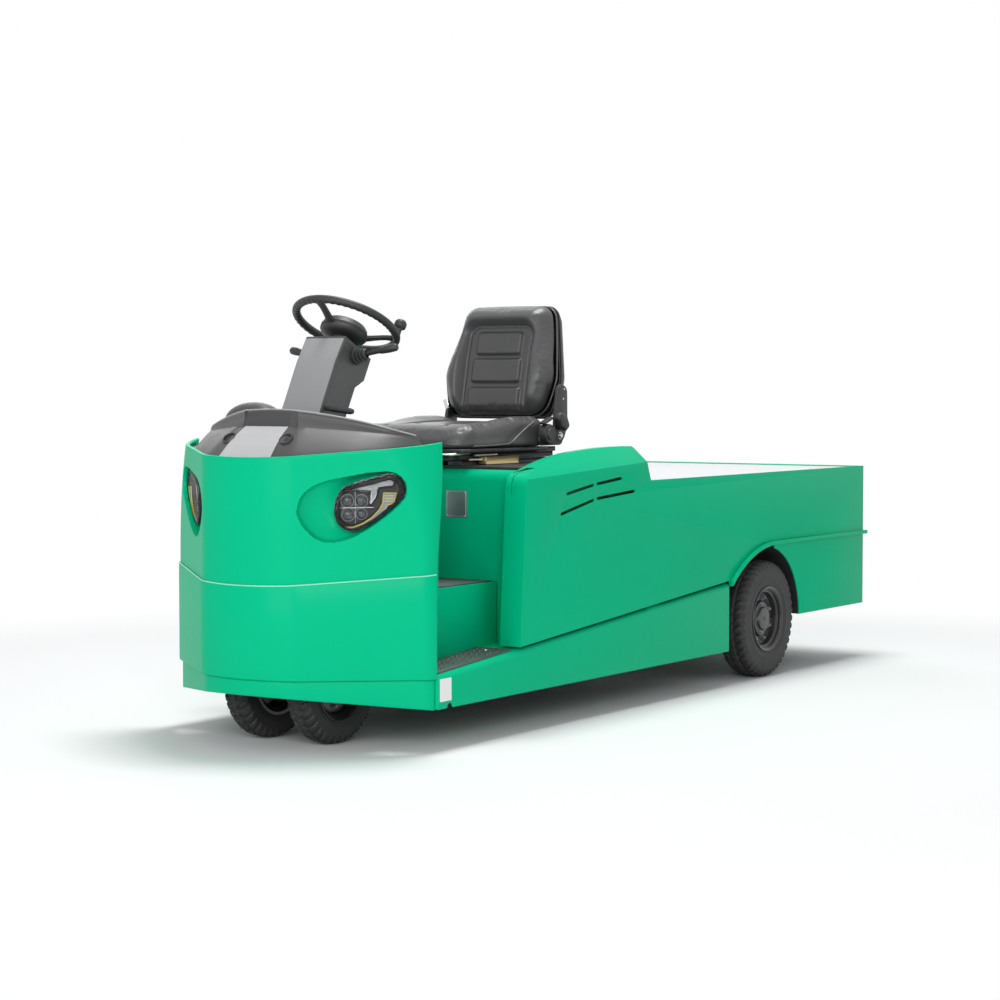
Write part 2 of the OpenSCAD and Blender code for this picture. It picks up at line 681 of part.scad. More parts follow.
// Rear fittings
jaw_r = 55;
plate_h = 190;
hitch_plate_x = 90;
hitch_plate_t = 14;
module tow_coupling() color(black) from_nose() difference() {
    union() {
        block([-hitch_plate_x, hitch_plate_x], [body_l, body_l + hitch_plate_t],
            [hitch_h - plate_h / 2, hitch_h + plate_h / 2]);
        for (up = [-1, 1])
            translate([0, 0, hitch_h + up * (hitch_gap + hitch_ear_t) / 2 - hitch_ear_t / 2])
                linear_extrude(hitch_ear_t) {
                    translate([-jaw_r, body_l]) square([2 * jaw_r, hitch_out - jaw_r]);
                    translate([0, body_l + hitch_out - jaw_r]) circle(jaw_r);
                }
    }
    translate([0, body_l + hitch_out - jaw_r, 0]) cylinder(r = hitch_pin_r, h = far / 2);
    block([-far, far], [0, body_l], [0, far]);
}
lamp_in = [60, 150];
lamp_down = [90, 140];
lamp_out = 26;
lamp_edge_r = 12;
module rear_lamps() color("darkred") from_nose() for (side = [-1, 1])
    on_side(side) along_s(body_l, body_l + lamp_out)
        rounded_box([hw - lamp_in[1], hw - lamp_in[0]], [deck_h - lamp_down[1], deck_h - lamp_down[0]],
            lamp_edge_r);
plate_t = 2;
plate_x = [150, 230];
plate_z = [650, 735];
module data_plate() color(steel) from_nose()
    block(plate_x, [seat_box_s - plate_t, seat_box_s], plate_z);

// Front wheels on a turning head
front_z = front_d / 2;
head_r = 118;
head_t = 16;
head_gap = 0.5;
head_top = floor_h - floor_t - bridge_t - head_gap;
leg_x = 30;
leg_l = 90;
pivot_r = 18;
pivot_out = 20;
module steer_head() color(black) from_nose() translate([0, front_s, 0]) {
    translate([0, 0, head_top - head_t]) cylinder(r = head_r, h = head_t);
    block([-leg_x, leg_x], [-leg_l / 2, leg_l / 2], [front_z - leg_l / 2, head_top - head_t]);
    translate([0, 0, front_z]) rod_x(pivot_r, -twin_x - pivot_out, twin_x + pivot_out);
}
// A wheel turned about its own axis: half section as radius and distance across
bead_in = 8;
shoulder_h = 14;
shoulder_in = 9;
shoulder_r = 12;
wall_r = 26;
bead_edge_r = 2;
module tyre_section(od, w, bead_r) rounded([[bead_r, -w / 2 + bead_in], [od / 2 - shoulder_h, -w / 2],
    [od / 2, -w / 2 + shoulder_in], [od / 2, w / 2 - shoulder_in], [od / 2 - shoulder_h, w / 2],
    [bead_r, w / 2 - bead_in]], [bead_edge_r, wall_r, shoulder_r, shoulder_r, wall_r, bead_edge_r]);
module tyre(od, w, bead_r) rotate_extrude($fn = 72) tyre_section(od, w, bead_r);
// Barrel with two flanges, a disc towards the outside and a hub
rim_wall = 14;
rim_lip = 12;
rim_lip_t = 4;
rim_in = 2;
disc_t = 8;
disc_lap = 5;
module rim(bead_r, w, disc_x, bore_r, hub_r, hub) rotate_extrude() {
    for (edge = [w / 2 - rim_in - rim_lip_t, -w / 2 + rim_in])
        translate([bead_r - rim_wall, edge]) square([rim_wall + rim_lip, rim_lip_t]);
    translate([bead_r - rim_wall, -w / 2 + rim_in]) square([rim_wall - gap, w - 2 * rim_in]);
    translate([hub_r - disc_lap, disc_x]) square([bead_r - hub_r, disc_t]);
    translate([bore_r, hub[0]]) square([hub_r - bore_r, hub[1] - hub[0]]);
}
front_bead = 101;
rear_bead = 108;
run = 0.06;
front_disc = 4;
front_hub_r = 42;
front_hub = [-60, 26];
rear_disc = 6;
rear_hub_r = 60;
rear_hub = [-62, 34];
module front_tyres() color(black) from_nose() for (side = [-1, 1])
    wheel_at(side * twin_x, front_s, front_z) tyre(front_d, front_w, front_bead);
module front_rims() color(grey) from_nose() for (side = [-1, 1])
    on_side(side) wheel_at(twin_x, front_s, front_z)
        rim(front_bead, front_w, front_disc, pivot_r + run, front_hub_r, front_hub);
module rear_tyre(side) color(black) from_nose() on_side(side)
    wheel_at(rear_x, rear_s, axle_z) tyre(rear_d, rear_w, rear_bead);
module rear_rim(side) color(grey) from_nose() on_side(side)
    wheel_at(rear_x, rear_s, axle_z) rim(rear_bead, rear_w, rear_disc, stub_r + run, rear_hub_r, rear_hub);

// Steering wheel: stem, horn pad, rim, three spokes and a spinner knob
hub_h = 80;
stem_r = 34;
stem_gap = 0.5;
horn_r = 62;
horn_low = 30;
spoke_in = 30;
spoke_w = 28;
spoke_t = 14;
spoke_low = hub_h - 20;
knob_turn = 34;
knob_stem_r = 9;
knob_r = 19;
knob_z = hub_h + 34;
knob_h = 28;
ring_r = wheel_d / 2 - wheel_rim_d / 2;
module steering_wheel() color(grey) from_nose() on_column(0) {
    translate([0, 0, stem_gap]) cylinder(r = stem_r, h = hub_h);
    translate([0, 0, horn_low]) cylinder(r = horn_r, h = hub_h - horn_low);
    translate([0, 0, hub_h]) rotate_extrude() translate([ring_r, 0]) circle(wheel_rim_d / 2);
    for (turn = [knob_turn, 180 - knob_turn, 270])
        rotate([0, 0, turn]) translate([spoke_in, -spoke_w / 2, spoke_low])
            cube([ring_r - spoke_in, spoke_w, spoke_t]);
    rotate([0, 0, knob_turn]) translate([ring_r, 0, hub_h]) {
        cylinder(r = knob_stem_r, h = knob_z - hub_h);
        translate([0, 0, knob_z - hub_h]) cylinder(r = knob_r, h = knob_h);
    }
}

chassis_frame();
battery_block();
drive_motor();
rear_axle();
sill(1);  // sill_left
sill(-1);  // sill_right
side_panel(1);  // side_panel_left
side_panel(-1);  // side_panel_right
rear_panel();
deck_plate();
deck_hatch();
fender_flare(1);  // fender_flare_left
fender_flare(-1);  // fender_flare_right
wheel_liner(1);  // wheel_liner_left
wheel_liner(-1);  // wheel_liner_right
seat_box();
hood_plate();
floor_plate();
floor_mat();
step_plate(1);  // step_plate_left
step_plate(-1);  // step_plate_right
front_cowl();
front_bumper();
front_skirt();
headlamp(1);  // headlamp_left
headlamp(-1);  // headlamp_right
kick_panel();
dash_lower();
dash_upper();
column_cover();
column_tube();
column_levers();
pedals();
seat_rails();
seat_cushion();
seat_backrest();
seat_shell();
seat_brackets();
tow_coupling();
rear_lamps();
data_plate();
steer_head();
front_rims();
front_tyres();
rear_rim(1);  // rear_rim_left
rear_tyre(1);  // rear_tyre_left
rear_rim(-1);  // rear_rim_right
rear_tyre(-1);  // rear_tyre_right
steering_wheel();
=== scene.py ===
import bisect
import json
import math

import bpy
from mathutils import Matrix, Vector


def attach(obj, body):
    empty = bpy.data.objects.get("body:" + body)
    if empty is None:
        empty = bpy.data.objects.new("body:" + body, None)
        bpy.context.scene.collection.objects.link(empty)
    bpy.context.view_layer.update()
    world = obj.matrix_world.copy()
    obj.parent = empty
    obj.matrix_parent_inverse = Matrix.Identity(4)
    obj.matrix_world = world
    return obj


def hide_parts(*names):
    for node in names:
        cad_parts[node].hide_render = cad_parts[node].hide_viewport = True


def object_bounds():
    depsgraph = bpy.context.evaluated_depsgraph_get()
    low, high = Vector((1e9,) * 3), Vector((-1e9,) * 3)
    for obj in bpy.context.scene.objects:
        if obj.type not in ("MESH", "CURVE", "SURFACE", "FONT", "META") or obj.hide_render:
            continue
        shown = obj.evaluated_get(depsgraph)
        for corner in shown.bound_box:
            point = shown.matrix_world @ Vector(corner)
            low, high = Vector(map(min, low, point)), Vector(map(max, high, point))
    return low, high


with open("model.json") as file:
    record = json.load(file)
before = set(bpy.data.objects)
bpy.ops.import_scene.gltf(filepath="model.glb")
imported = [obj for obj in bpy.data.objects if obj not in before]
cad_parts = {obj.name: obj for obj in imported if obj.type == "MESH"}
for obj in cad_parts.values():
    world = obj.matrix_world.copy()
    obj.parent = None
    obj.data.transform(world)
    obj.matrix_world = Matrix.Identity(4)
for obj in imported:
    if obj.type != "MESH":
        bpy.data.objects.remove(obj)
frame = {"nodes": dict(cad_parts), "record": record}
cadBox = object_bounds()
noseY = cadBox[0].y  # distances along the length are counted from the nose
print("frame loaded:", len(frame["nodes"]), "nodes")


# Small tools for modelling by hand

def alongBody(x, s, z):
    return Vector((x, noseY + s, z))


def objectMode():
    if bpy.context.object and bpy.context.object.mode != "OBJECT":
        bpy.ops.object.mode_set(mode="OBJECT")


def makeActive(*pieces):
    objectMode()
    bpy.ops.object.select_all(action="DESELECT")
    for piece in pieces:
        piece.select_set(True)
    bpy.context.view_layer.objects.active = pieces[0]


def addPrimitive(kind, name, **settings):
    objectMode()
    bpy.ops.object.select_all(action="DESELECT")
    getattr(bpy.ops.mesh, "primitive_" + kind + "_add")(**settings)
    piece = bpy.context.object
    piece.name = name
    bpy.ops.object.transform_apply(location=True, rotation=True, scale=True)
    return piece


def meshPiece(name, points, edges, faces):
    objectMode()
    mesh = bpy.data.meshes.new(name)
    mesh.from_pydata(points, edges, faces)
    piece = bpy.data.objects.new(name, mesh)
    bpy.context.collection.objects.link(piece)
    makeActive(piece)
    return piece


def editAll():
    # edit mode on the active piece, with all of it selected
    bpy.ops.object.mode_set(mode="EDIT")
    bpy.ops.mesh.select_all(action="SELECT")


def insetSelected(*steps):
    for width, depth in steps:
        bpy.ops.mesh.inset(thickness=width, depth=depth)
    objectMode()


def insetFaces(piece, facing, *steps):
    # set in the faces whose normal passes the test
    makeActive(piece)
    bpy.ops.object.mode_set(mode="EDIT")
    bpy.ops.mesh.select_mode(type="FACE")
    bpy.ops.mesh.select_all(action="DESELECT")
    objectMode()
    for face in piece.data.polygons:
        face.select = facing(face.normal)
    bpy.ops.object.mode_set(mode="EDIT")
    insetSelected(*steps)


def cleanMesh(piece, near=1e-5, outward=True):
    makeActive(piece)
    editAll()
    bpy.ops.mesh.remove_doubles(threshold=near)
    if outward:
        bpy.ops.mesh.normals_make_consistent(inside=False)
    objectMode()


def facePiece(name, points):
    return meshPiece(name, points, [], [tuple(range(len(points)))])


def slab(name, points, move):
    # an outline drawn out into a closed block
    piece = facePiece(name, points)
    editAll()
    bpy.ops.mesh.extrude_region_move(TRANSFORM_OT_translate={"value": move})
    cleanMesh(piece)
    return piece


def modify(piece, kind, **settings):
    makeActive(piece)
    modifier = piece.modifiers.new(kind.lower(), kind)
    for key, value in settings.items():
        setattr(modifier, key, value)
    bpy.ops.object.modifier_apply(modifier=modifier.name)


def roundEdges(piece, width, segments=2, angle=30):
    modify(piece, "BEVEL", width=width, segments=segments, limit_method="ANGLE",
           angle_limit=math.radians(angle), use_clamp_overlap=True)


def smooth(piece, angle=35):
    makeActive(piece)
    bpy.ops.object.shade_smooth_by_angle(angle=math.radians(angle))


def movePoints(piece, rule):
    for point in piece.data.vertices:
        point.co = rule(point.co.copy())
    piece.data.update()


def joined(name, pieces):
    makeActive(*pieces)
    bpy.ops.object.join()
    pieces[0].name = name
    return pieces[0]


def copied(piece, matrix):
    twin = piece.copy()
    twin.data = piece.data.copy()
    bpy.context.collection.objects.link(twin)
    twin.data.transform(matrix)
    if matrix.determinant() < 0:
        twin.data.flip_normals()
    return twin


def copyOfNode(node, name, near=2e-5, flat=0.3):
    piece = bpy.data.objects.new(name, frame["nodes"][node].data.copy())
    bpy.context.collection.objects.link(piece)
    cleanMesh(piece, near, outward=False)
    editAll()
    bpy.ops.mesh.dissolve_limited(angle_limit=math.radians(flat))
    objectMode()
    return piece


def spun(name, profile, steps, axis=(1, 0, 0), closed=False):
    # profile holds (radius, distance along the axis); the axis passes the origin
    count = len(profile)
    points = [(along, radius, 0) for radius, along in profile]
    edges = [(i, (i + 1) % count) for i in range(count if closed else count - 1)]
    piece = meshPiece(name, points, edges, [])
    editAll()
    bpy.ops.mesh.spin(steps=steps, angle=math.tau, center=(0, 0, 0), axis=(1, 0, 0))
    cleanMesh(piece)
    turn = Vector((1, 0, 0)).rotation_difference(Vector(axis)).to_matrix().to_4x4()
    piece.data.transform(turn)
    return piece


def rod(name, points, radius, closed=False, sides=3, curved=True):
    # a round bar through the points
    objectMode()
    line = bpy.data.curves.new(name, "CURVE")
    line.dimensions = "3D"
    line.bevel_depth = radius
    line.bevel_resolution = sides
    line.use_fill_caps = True
    if curved:
        spline = line.splines.new("BEZIER")
        spline.bezier_points.add(len(points) - 1)
        for knot, point in zip(spline.bezier_points, points):
            knot.co = point
            knot.handle_left_type = knot.handle_right_type = "AUTO"
        spline.resolution_u = 8
    else:
        spline = line.splines.new("POLY")
        spline.points.add(len(points) - 1)
        for knot, point in zip(spline.points, points):
            knot.co = (*point, 1)
    spline.use_cyclic_u = closed
    piece = bpy.data.objects.new(name, line)
    bpy.context.collection.objects.link(piece)
    makeActive(piece)
    bpy.ops.object.convert(target="MESH")
    piece = bpy.context.object
    smooth(piece, 50)
    return piece


def placed(piece, matrix):
    piece.data.transform(matrix)
    piece.data.update()
    return piece


def block(name, size, middle=(0, 0, 0)):
    piece = addPrimitive("cube", name, size=1)
    return placed(piece, Matrix.Translation(middle) @ Matrix.Diagonal((*size, 1)))


def dicedCube(name, cuts):
    piece = addPrimitive("cube", name, size=1)
    editAll()
    bpy.ops.mesh.subdivide(number_cuts=cuts)
    objectMode()
    return piece


def finished(piece, paint, body="chassis", replaces=()):
    piece.data.materials.clear()
    piece.data.materials.append(paints[paint])
    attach(piece, body)
    if replaces:
        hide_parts(*replaces)
    return piece


def grouped(name, pieces, angle, paint, replaces=()):
    group = joined(name, pieces)
    smooth(group, angle)
    return finished(group, paint, replaces=replaces)


def ease(t):
    t = max(0.0, min(1.0, t))
    return t * t * (3 - 2 * t)


# Finishes

class Flow:
    # a socket that takes part in sums
    def __init__(self, finish, socket):
        self.finish = finish
        self.socket = socket

    def sum(self, operation, other, turned=False):
        first, second = (other, self) if turned else (self, other)
        return self.finish.node("ShaderNodeMath", {"operation": operation}, {0: first, 1: second})

    def __add__(self, other):
        return self.sum("ADD", other)

    def __radd__(self, other):
        return self.sum("ADD", other, True)

    def __rsub__(self, other):
        return self.sum("SUBTRACT", other, True)

    def __mul__(self, other):
        return self.sum("MULTIPLY", other)

    def __rmul__(self, other):
        return self.sum("MULTIPLY", other, True)

    def above(self, level, width):
        settings = {"interpolation_type": "SMOOTHSTEP"}
        values = {"Value": self, "From Min": level, "From Max": level + width}
        return self.finish.node("ShaderNodeMapRange", settings, values)


class Finish:
    # a material built round one principled shader
    def __init__(self, name, **constants):
        self.material = bpy.data.materials.new(name)
        self.material.use_nodes = True
        self.tree = self.material.node_tree
        self.shader = self.tree.nodes["Principled BSDF"]
        for key, value in constants.items():
            socket = {"coat": "Coat Weight", "coatRough": "Coat Roughness", "ior": "IOR",
                      "specular": "Specular IOR Level", "glow": "Emission Strength"}.get(key, key.title())
            self.shader.inputs[socket].default_value = value
        self.coords = None

    def node(self, kind, settings=None, values=None, output=0):
        made = self.tree.nodes.new(kind)
        for key, value in (settings or {}).items():
            setattr(made, key, value)
        for key, value in (values or {}).items():
            self.feed(made.inputs[key], value)
        return Flow(self, made.outputs[output])

    def feed(self, socket, value):
        if isinstance(value, Flow):
            self.tree.links.new(value.socket, socket)
        else:
            socket.default_value = value

    def place(self, stretch=(1, 1, 1)):
        if self.coords is None:
            self.coords = self.node("ShaderNodeTexCoord", output=3)
        if stretch == (1, 1, 1):
            return self.coords
        return self.node("ShaderNodeMapping", None, {"Vector": self.coords, "Scale": stretch})

    def noise(self, scale, detail=2.0, stretch=(1, 1, 1)):
        values = {"Vector": self.place(stretch), "Scale": scale, "Detail": detail}
        return self.node("ShaderNodeTexNoise", None, values)

    def cells(self, scale):
        return self.node("ShaderNodeTexVoronoi", None, {"Vector": self.place(), "Scale": scale})

    def blend(self, factor, first, second):
        values = {"Factor": factor, 6: first, 7: second}
        return self.node("ShaderNodeMix", {"data_type": "RGBA"}, values, 2)

    def colour(self, value):
        self.feed(self.shader.inputs["Base Color"], value)

    def rough(self, value):
        self.feed(self.shader.inputs["Roughness"], value)

    def bump(self, height, distance, strength=1.0):
        values = {"Height": height, "Distance": distance, "Strength": strength}
        self.feed(self.shader.inputs["Normal"], self.node("ShaderNodeBump", None, values))


def tone(red, green, blue):
    return (red, green, blue, 1.0)


def greenPaint():
    # glossy enamel under clear coat, with the faint ripple of sprayed paint
    finish = Finish("greenPaint", coat=0.07, coatRough=0.16, specular=0.02)
    cloud = finish.noise(2.2, 3.0)
    finish.colour(finish.blend(cloud, tone(0.0, 0.43, 0.208), tone(0.001, 0.465, 0.228)))
    finish.rough(0.3 + 0.1 * finish.noise(60, 4.0))
    finish.bump(finish.noise(190, 1.0), 0.00009, 0.5)
    return finish.material


def satinPaint(name, dark, light, grain, coat=0.0, base=0.42):
    finish = Finish(name, coat=coat, coatRough=0.2)
    finish.colour(finish.blend(finish.noise(14, 5.0).above(0.35, 0.4), tone(*dark), tone(*light)))
    finish.rough(base + 0.16 * finish.noise(70, 4.0))
    finish.bump(finish.noise(grain, 2.0), 0.00025, 0.5)
    return finish.material


def deckPaint():
    # pale sheet, brushed across and lightly scuffed by loads
    finish = Finish("deckPaint", specular=0.04)
    streak = finish.noise(9, 5.0, (1, 16, 1))
    scuff = finish.noise(22, 6.0, (0.6, 4, 1)).above(0.62, 0.1)
    base = finish.blend(streak, tone(0.58, 0.59, 0.60), tone(0.68, 0.685, 0.69))
    finish.colour(finish.blend(scuff * 0.35, base, tone(0.46, 0.47, 0.48)))
    finish.rough(0.58 + 0.2 * streak)
    finish.bump(finish.noise(240, 2.0, (1, 9, 1)), 0.0002, 0.4)
    return finish.material


def mouldedPlastic(name, dark, light, base=0.5, grain=900):
    # moulding with a fine leather-like grain
    finish = Finish(name)
    finish.colour(finish.blend(finish.noise(6, 4.0), tone(*dark), tone(*light)))
    finish.rough(base + 0.12 * finish.noise(30, 3.0))
    finish.bump(finish.cells(grain), 0.00022, 0.45)
    return finish.material


def seatVinyl():
    # soft black vinyl with fine grain and a dull sheen where it is stretched
    finish = Finish("seatVinyl", coat=0.12, coatRough=0.35)
    worn = finish.noise(7, 4.0)
    finish.colour(finish.blend(worn, tone(0.040, 0.040, 0.041), tone(0.064, 0.064, 0.066)))
    finish.rough(0.36 + 0.14 * worn)
    finish.bump(finish.cells(620) + 0.6 * finish.noise(900, 2.0), 0.00016, 0.55)
    return finish.material


def tyreRubber():
    finish = Finish("tyreRubber")
    dust = finish.noise(24, 6.0).above(0.5, 0.25)
    finish.colour(finish.blend(dust * 0.5, tone(0.016, 0.016, 0.017), tone(0.05, 0.049, 0.047)))
    finish.rough(0.62 + 0.2 * dust)
    finish.bump(finish.noise(260, 4.0), 0.0004, 0.5)
    return finish.material


def ribbedRubber():
    # floor mat with a pattern of small raised bars
    finish = Finish("ribbedRubber")
    brick = finish.node("ShaderNodeTexBrick", {"offset": 0.5}, {
        "Vector": finish.place(), "Scale": 22.0, "Mortar Size": 0.12, "Mortar Smooth": 0.3,
        "Color1": tone(1, 1, 1), "Color2": tone(1, 1, 1), "Mortar": tone(0, 0, 0)}, 1)
    dirt = finish.noise(9, 5.0).above(0.45, 0.3)
    finish.colour(finish.blend(dirt * 0.6, tone(0.045, 0.047, 0.05), tone(0.11, 0.112, 0.115)))
    finish.rough(0.55 + 0.2 * dirt)
    finish.bump(1 - brick, 0.0016, 0.8)
    return finish.material


def bareMetal(name, colour, base=0.28, stretch=(1, 1, 1)):
    finish = Finish(name, metallic=1.0)
    streak = finish.noise(40, 5.0, stretch)
    finish.colour(finish.blend(streak, tone(*(c * 0.82 for c in colour)), tone(*colour)))
    finish.rough(base + 0.2 * streak)
    finish.bump(finish.noise(420, 2.0, stretch), 0.00012, 0.4)
    return finish.material


def castIron():
    finish = Finish("castIron")
    pit = finish.noise(130, 6.0)
    finish.colour(finish.blend(pit, tone(0.03, 0.03, 0.031), tone(0.075, 0.075, 0.077)))
    finish.rough(0.55 + 0.2 * pit)
    finish.bump(pit, 0.0009, 0.5)
    return finish.material


def clearCover():
    # hard-coated lamp cover, seen through
    finish = Finish("clearCover", ior=1.5, roughness=0.03, alpha=0.14)
    finish.colour(finish.blend(finish.noise(3, 2.0), tone(0.02, 0.022, 0.024), tone(0.05, 0.053, 0.055)))
    return finish.material


def colouredLens(name, dark, light):
    finish = Finish(name, coat=0.9, coatRough=0.04, roughness=0.18)
    rib = finish.cells(160)
    finish.colour(finish.blend(rib, tone(*dark), tone(*light)))
    finish.bump(rib, 0.0006, 0.5)
    return finish.material


paints = {
    "green": greenPaint(),
    "frame": satinPaint("framePaint", (0.012, 0.012, 0.013), (0.022, 0.022, 0.023), 160, 0.1),
    "rim": satinPaint("rimPaint", (0.009, 0.009, 0.010), (0.018, 0.018, 0.019), 220, 0.45, 0.34),
    "deck": deckPaint(),
    "darkPlastic": mouldedPlastic("darkPlastic", (0.050, 0.050, 0.052), (0.068, 0.068, 0.070)),
    "blackPlastic": mouldedPlastic("blackPlastic", (0.013, 0.013, 0.014), (0.022, 0.022, 0.023), 0.42),
    # light grey for the rod along the dash's upper edge: a painted edge highlight
    "edgeHighlightGrey": mouldedPlastic("edgeHighlightGrey", (0.30, 0.30, 0.305), (0.36, 0.36, 0.365), 0.4),
    "dash": mouldedPlastic("dashPlastic", (0.030, 0.030, 0.031), (0.044, 0.044, 0.045), 0.36, 700),
    "columnGrey": mouldedPlastic("columnPlastic", (0.050, 0.050, 0.052), (0.062, 0.062, 0.064), 0.38),
    # pale green for the rod in the seam between cowl and bumper: a painted highlight in place of the light on
    # the bumper's top edge
    "seal": mouldedPlastic("seamHighlightStrip", (0.20, 0.66, 0.47), (0.27, 0.74, 0.55), 0.35),
    # light grey on the dash's flat middle: a painted reflection of the bright surroundings on the dark
    # plastic
    "silverGrey": mouldedPlastic("dashFacetPaintedReflection", (0.36, 0.36, 0.365), (0.43, 0.43, 0.435), 0.3),
    "paleGrey": mouldedPlastic("columnFacePlastic", (0.24, 0.24, 0.243), (0.285, 0.285, 0.288), 0.36),
    # near-black for the discs in the dash's round holes: painted shade in place of the holes' depth
    "holeShadeBlack": mouldedPlastic("holeShadeBlack", (0.002, 0.002, 0.002), (0.005, 0.005, 0.005), 0.5),
    "vinyl": seatVinyl(),
    # piping vinyl a little lighter than the seat vinyl: its own dark colour, partly lifted as a painted sheen
    # standing in for highlights along the rounded piping
    "piping": mouldedPlastic("pipingVinylPaintedSheen", (0.060, 0.060, 0.062), (0.085, 0.085, 0.087), 0.3, 1400),
    "rubber": tyreRubber(),
    "mat": ribbedRubber(),
    "step": satinPaint("stepMetal", (0.030, 0.045, 0.042), (0.055, 0.075, 0.07), 300, 0.1),
    "plate": bareMetal("plateMetal", (0.30, 0.32, 0.34), 0.36, (1, 1, 14)),
    "steel": bareMetal("zincSteel", (0.62, 0.63, 0.64), 0.26),
    "chrome": bareMetal("chromePlate", (0.50, 0.51, 0.53), 0.10),
    "brass": bareMetal("yellowZinc", (0.62, 0.47, 0.24), 0.3),
    "nut": bareMetal("darkZinc", (0.30, 0.31, 0.32), 0.26),
    "cast": castIron(),
    "cover": clearCover(),
    "lens": colouredLens("lampLens", (0.02, 0.03, 0.03), (0.12, 0.15, 0.15)),
    "yellow": colouredLens("indicatorLine", (0.85, 0.70, 0.02), (0.95, 0.84, 0.04)),
    "redLens": colouredLens("redLens", (0.30, 0.006, 0.005), (0.55, 0.014, 0.01)),
    "amberLens": colouredLens("amberLens", (0.55, 0.17, 0.01), (0.8, 0.3, 0.02)),
    "sticker": mouldedPlastic("stickerFilm", (0.78, 0.78, 0.78), (0.84, 0.84, 0.84), 0.4, 300),
}
print("finishes made:", len(paints))

# The nodes that keep their own mesh take the finish of their slot
slotPaint = {
    "green_paint": "green", "frame_paint": "frame", "rim_paint": "rim", "deck_paint": "deck",
    "dark_plastic": "darkPlastic", "black_plastic": "blackPlastic", "seat_vinyl": "vinyl",
    "tyre_rubber": "rubber", "mat_rubber": "mat", "step_metal": "step", "plate_metal": "plate",
    "lamp_glass": "lens", "red_lens": "redLens", "battery_case": "blackPlastic", "cast_metal": "cast",
}
slotOf = {row["node"]: row["material_slot"] for row in frame["record"]["subparts"]}
for node, piece in frame["nodes"].items():
    piece.data.materials.clear()
    piece.data.materials.append(paints[slotPaint[slotOf[node]]])


# Camera and light

view = {
    "place": (4.3696, -6.8426, 1.0705),
    "turn": 33.664,  # degrees to the left of straight along the body
    "fall": 2.853,   # degrees below the horizon
    "lens": 84.04,
    "sensor": 36.0,
}


def makeCamera():
    camera = bpy.data.objects.new("viewCamera", bpy.data.cameras.new("viewCamera"))
    bpy.context.collection.objects.link(camera)
    camera.data.lens = view["lens"]
    camera.data.sensor_width = view["sensor"]
    camera.location = view["place"]
    turn, fall = math.radians(view["turn"]), math.radians(view["fall"])
    look = Vector((-math.sin(turn) * math.cos(fall), math.cos(turn) * math.cos(fall), -math.sin(fall)))
    camera.rotation_euler = look.to_track_quat("-Z", "Y").to_euler()
    bpy.context.scene.camera = camera


studio = {
    "floorSize": 80.0,
    "floorTone": 0.80,
    "whiteFrom": 2.2,      # distance from the middle where the floor starts to fade to white
    "whiteOver": 1.3,
    "skyStrength": 0.42,
    # rays that see the plain white background
    "shownTo": ("Is Camera Ray", "Is Glossy Ray", "Is Transmission Ray"),
    # name, place, aimed at, size, watts
    "lamps": [
        ("keyLamp", (0.4, -7.0, 2.2), (0, -1.0, 0.5), 3.6, 120),
        ("fillLamp", (5.2, -7.6, 3.0), (0.2, -0.6, 0.6), 3.0, 265),
        ("topLamp", (0.2, 0.5, 6.5), (0, 0.1, 0.4), 2.2, 315),
        ("backLamp", (-5.0, 4.0, 4.0), (0, 0, 0.6), 4.0, 80),
    ],
}


def makeFloor():
    floor = addPrimitive("plane", "studioFloor", size=studio["floorSize"], location=(0, 0, 0))
    finish = Finish("paleFloor", roughness=0.9, specular=0.0, glow=1.0)
    rays = finish.node("ShaderNodeLightPath").socket.node.outputs
    seen = sum(Flow(finish, rays[ray]) for ray in studio["shownTo"])
    reach = finish.node("ShaderNodeVectorMath", {"operation": "LENGTH"}, {0: finish.place()}, "Value")
    fade = reach.above(studio["whiteFrom"], studio["whiteOver"]) * seen
    pale = studio["floorTone"]
    finish.colour(finish.blend(fade, tone(pale, pale, pale), tone(0, 0, 0)))
    finish.feed(finish.shader.inputs["Emission Color"], finish.blend(fade, tone(0, 0, 0), tone(1, 1, 1)))
    floor.data.materials.append(finish.material)


def makeSky():
    world = bpy.data.worlds.new("studioSky")
    bpy.context.scene.world = world
    world.use_nodes = True
    tree = world.node_tree
    rays = tree.nodes.new("ShaderNodeLightPath")
    last = tree.nodes["Background"]
    last.inputs["Color"].default_value = tone(0.94, 0.97, 1.0)
    last.inputs["Strength"].default_value = studio["skyStrength"]
    for ray in studio["shownTo"]:
        shown = tree.nodes.new("ShaderNodeBackground")
        shown.inputs["Color"].default_value = tone(1, 1, 1)
        shown.inputs["Strength"].default_value = 1.0
        mix = tree.nodes.new("ShaderNodeMixShader")
        tree.links.new(rays.outputs[ray], mix.inputs[0])
        tree.links.new(last.outputs[0], mix.inputs[1])
        tree.links.new(shown.outputs[0], mix.inputs[2])
        last = mix
    tree.links.new(last.outputs[0], tree.nodes["World Output"].inputs["Surface"])


def makeLamps():
    for name, place, aim, size, watts in studio["lamps"]:
        lamp = bpy.data.objects.new(name, bpy.data.lights.new(name, "AREA"))
        bpy.context.collection.objects.link(lamp)
        lamp.data.size = size
        lamp.data.energy = watts
        lamp.location = place
        lamp.rotation_euler = (Vector(aim) - Vector(place)).to_track_quat("-Z", "Y").to_euler()
    bpy.context.scene.view_settings.view_transform = "Standard"


makeCamera()
makeFloor()
makeSky()
makeLamps()
print("camera and studio made")

# The nose: one plan outline carries cowl, bumper, skirt and dash

nosePlan = {
    "halfWidth": 0.490,
    "rear": 0.700,
    # across, behind the nose, radius of the corner
    "corners": [(0.490, 0.290, 0.070), (0.165, 0.0308, 0.150), (0.0, -0.0196, 0.430)],
    "topRadius": 0.340,  # the side corners grow rounder towards the cowl's top
    "arcStep": 1.5,  # degrees
}


def turned(ray, angle):
    c, s = math.cos(angle), math.sin(angle)
    return Vector((ray.x * c - ray.y * s, ray.x * s + ray.y * c))


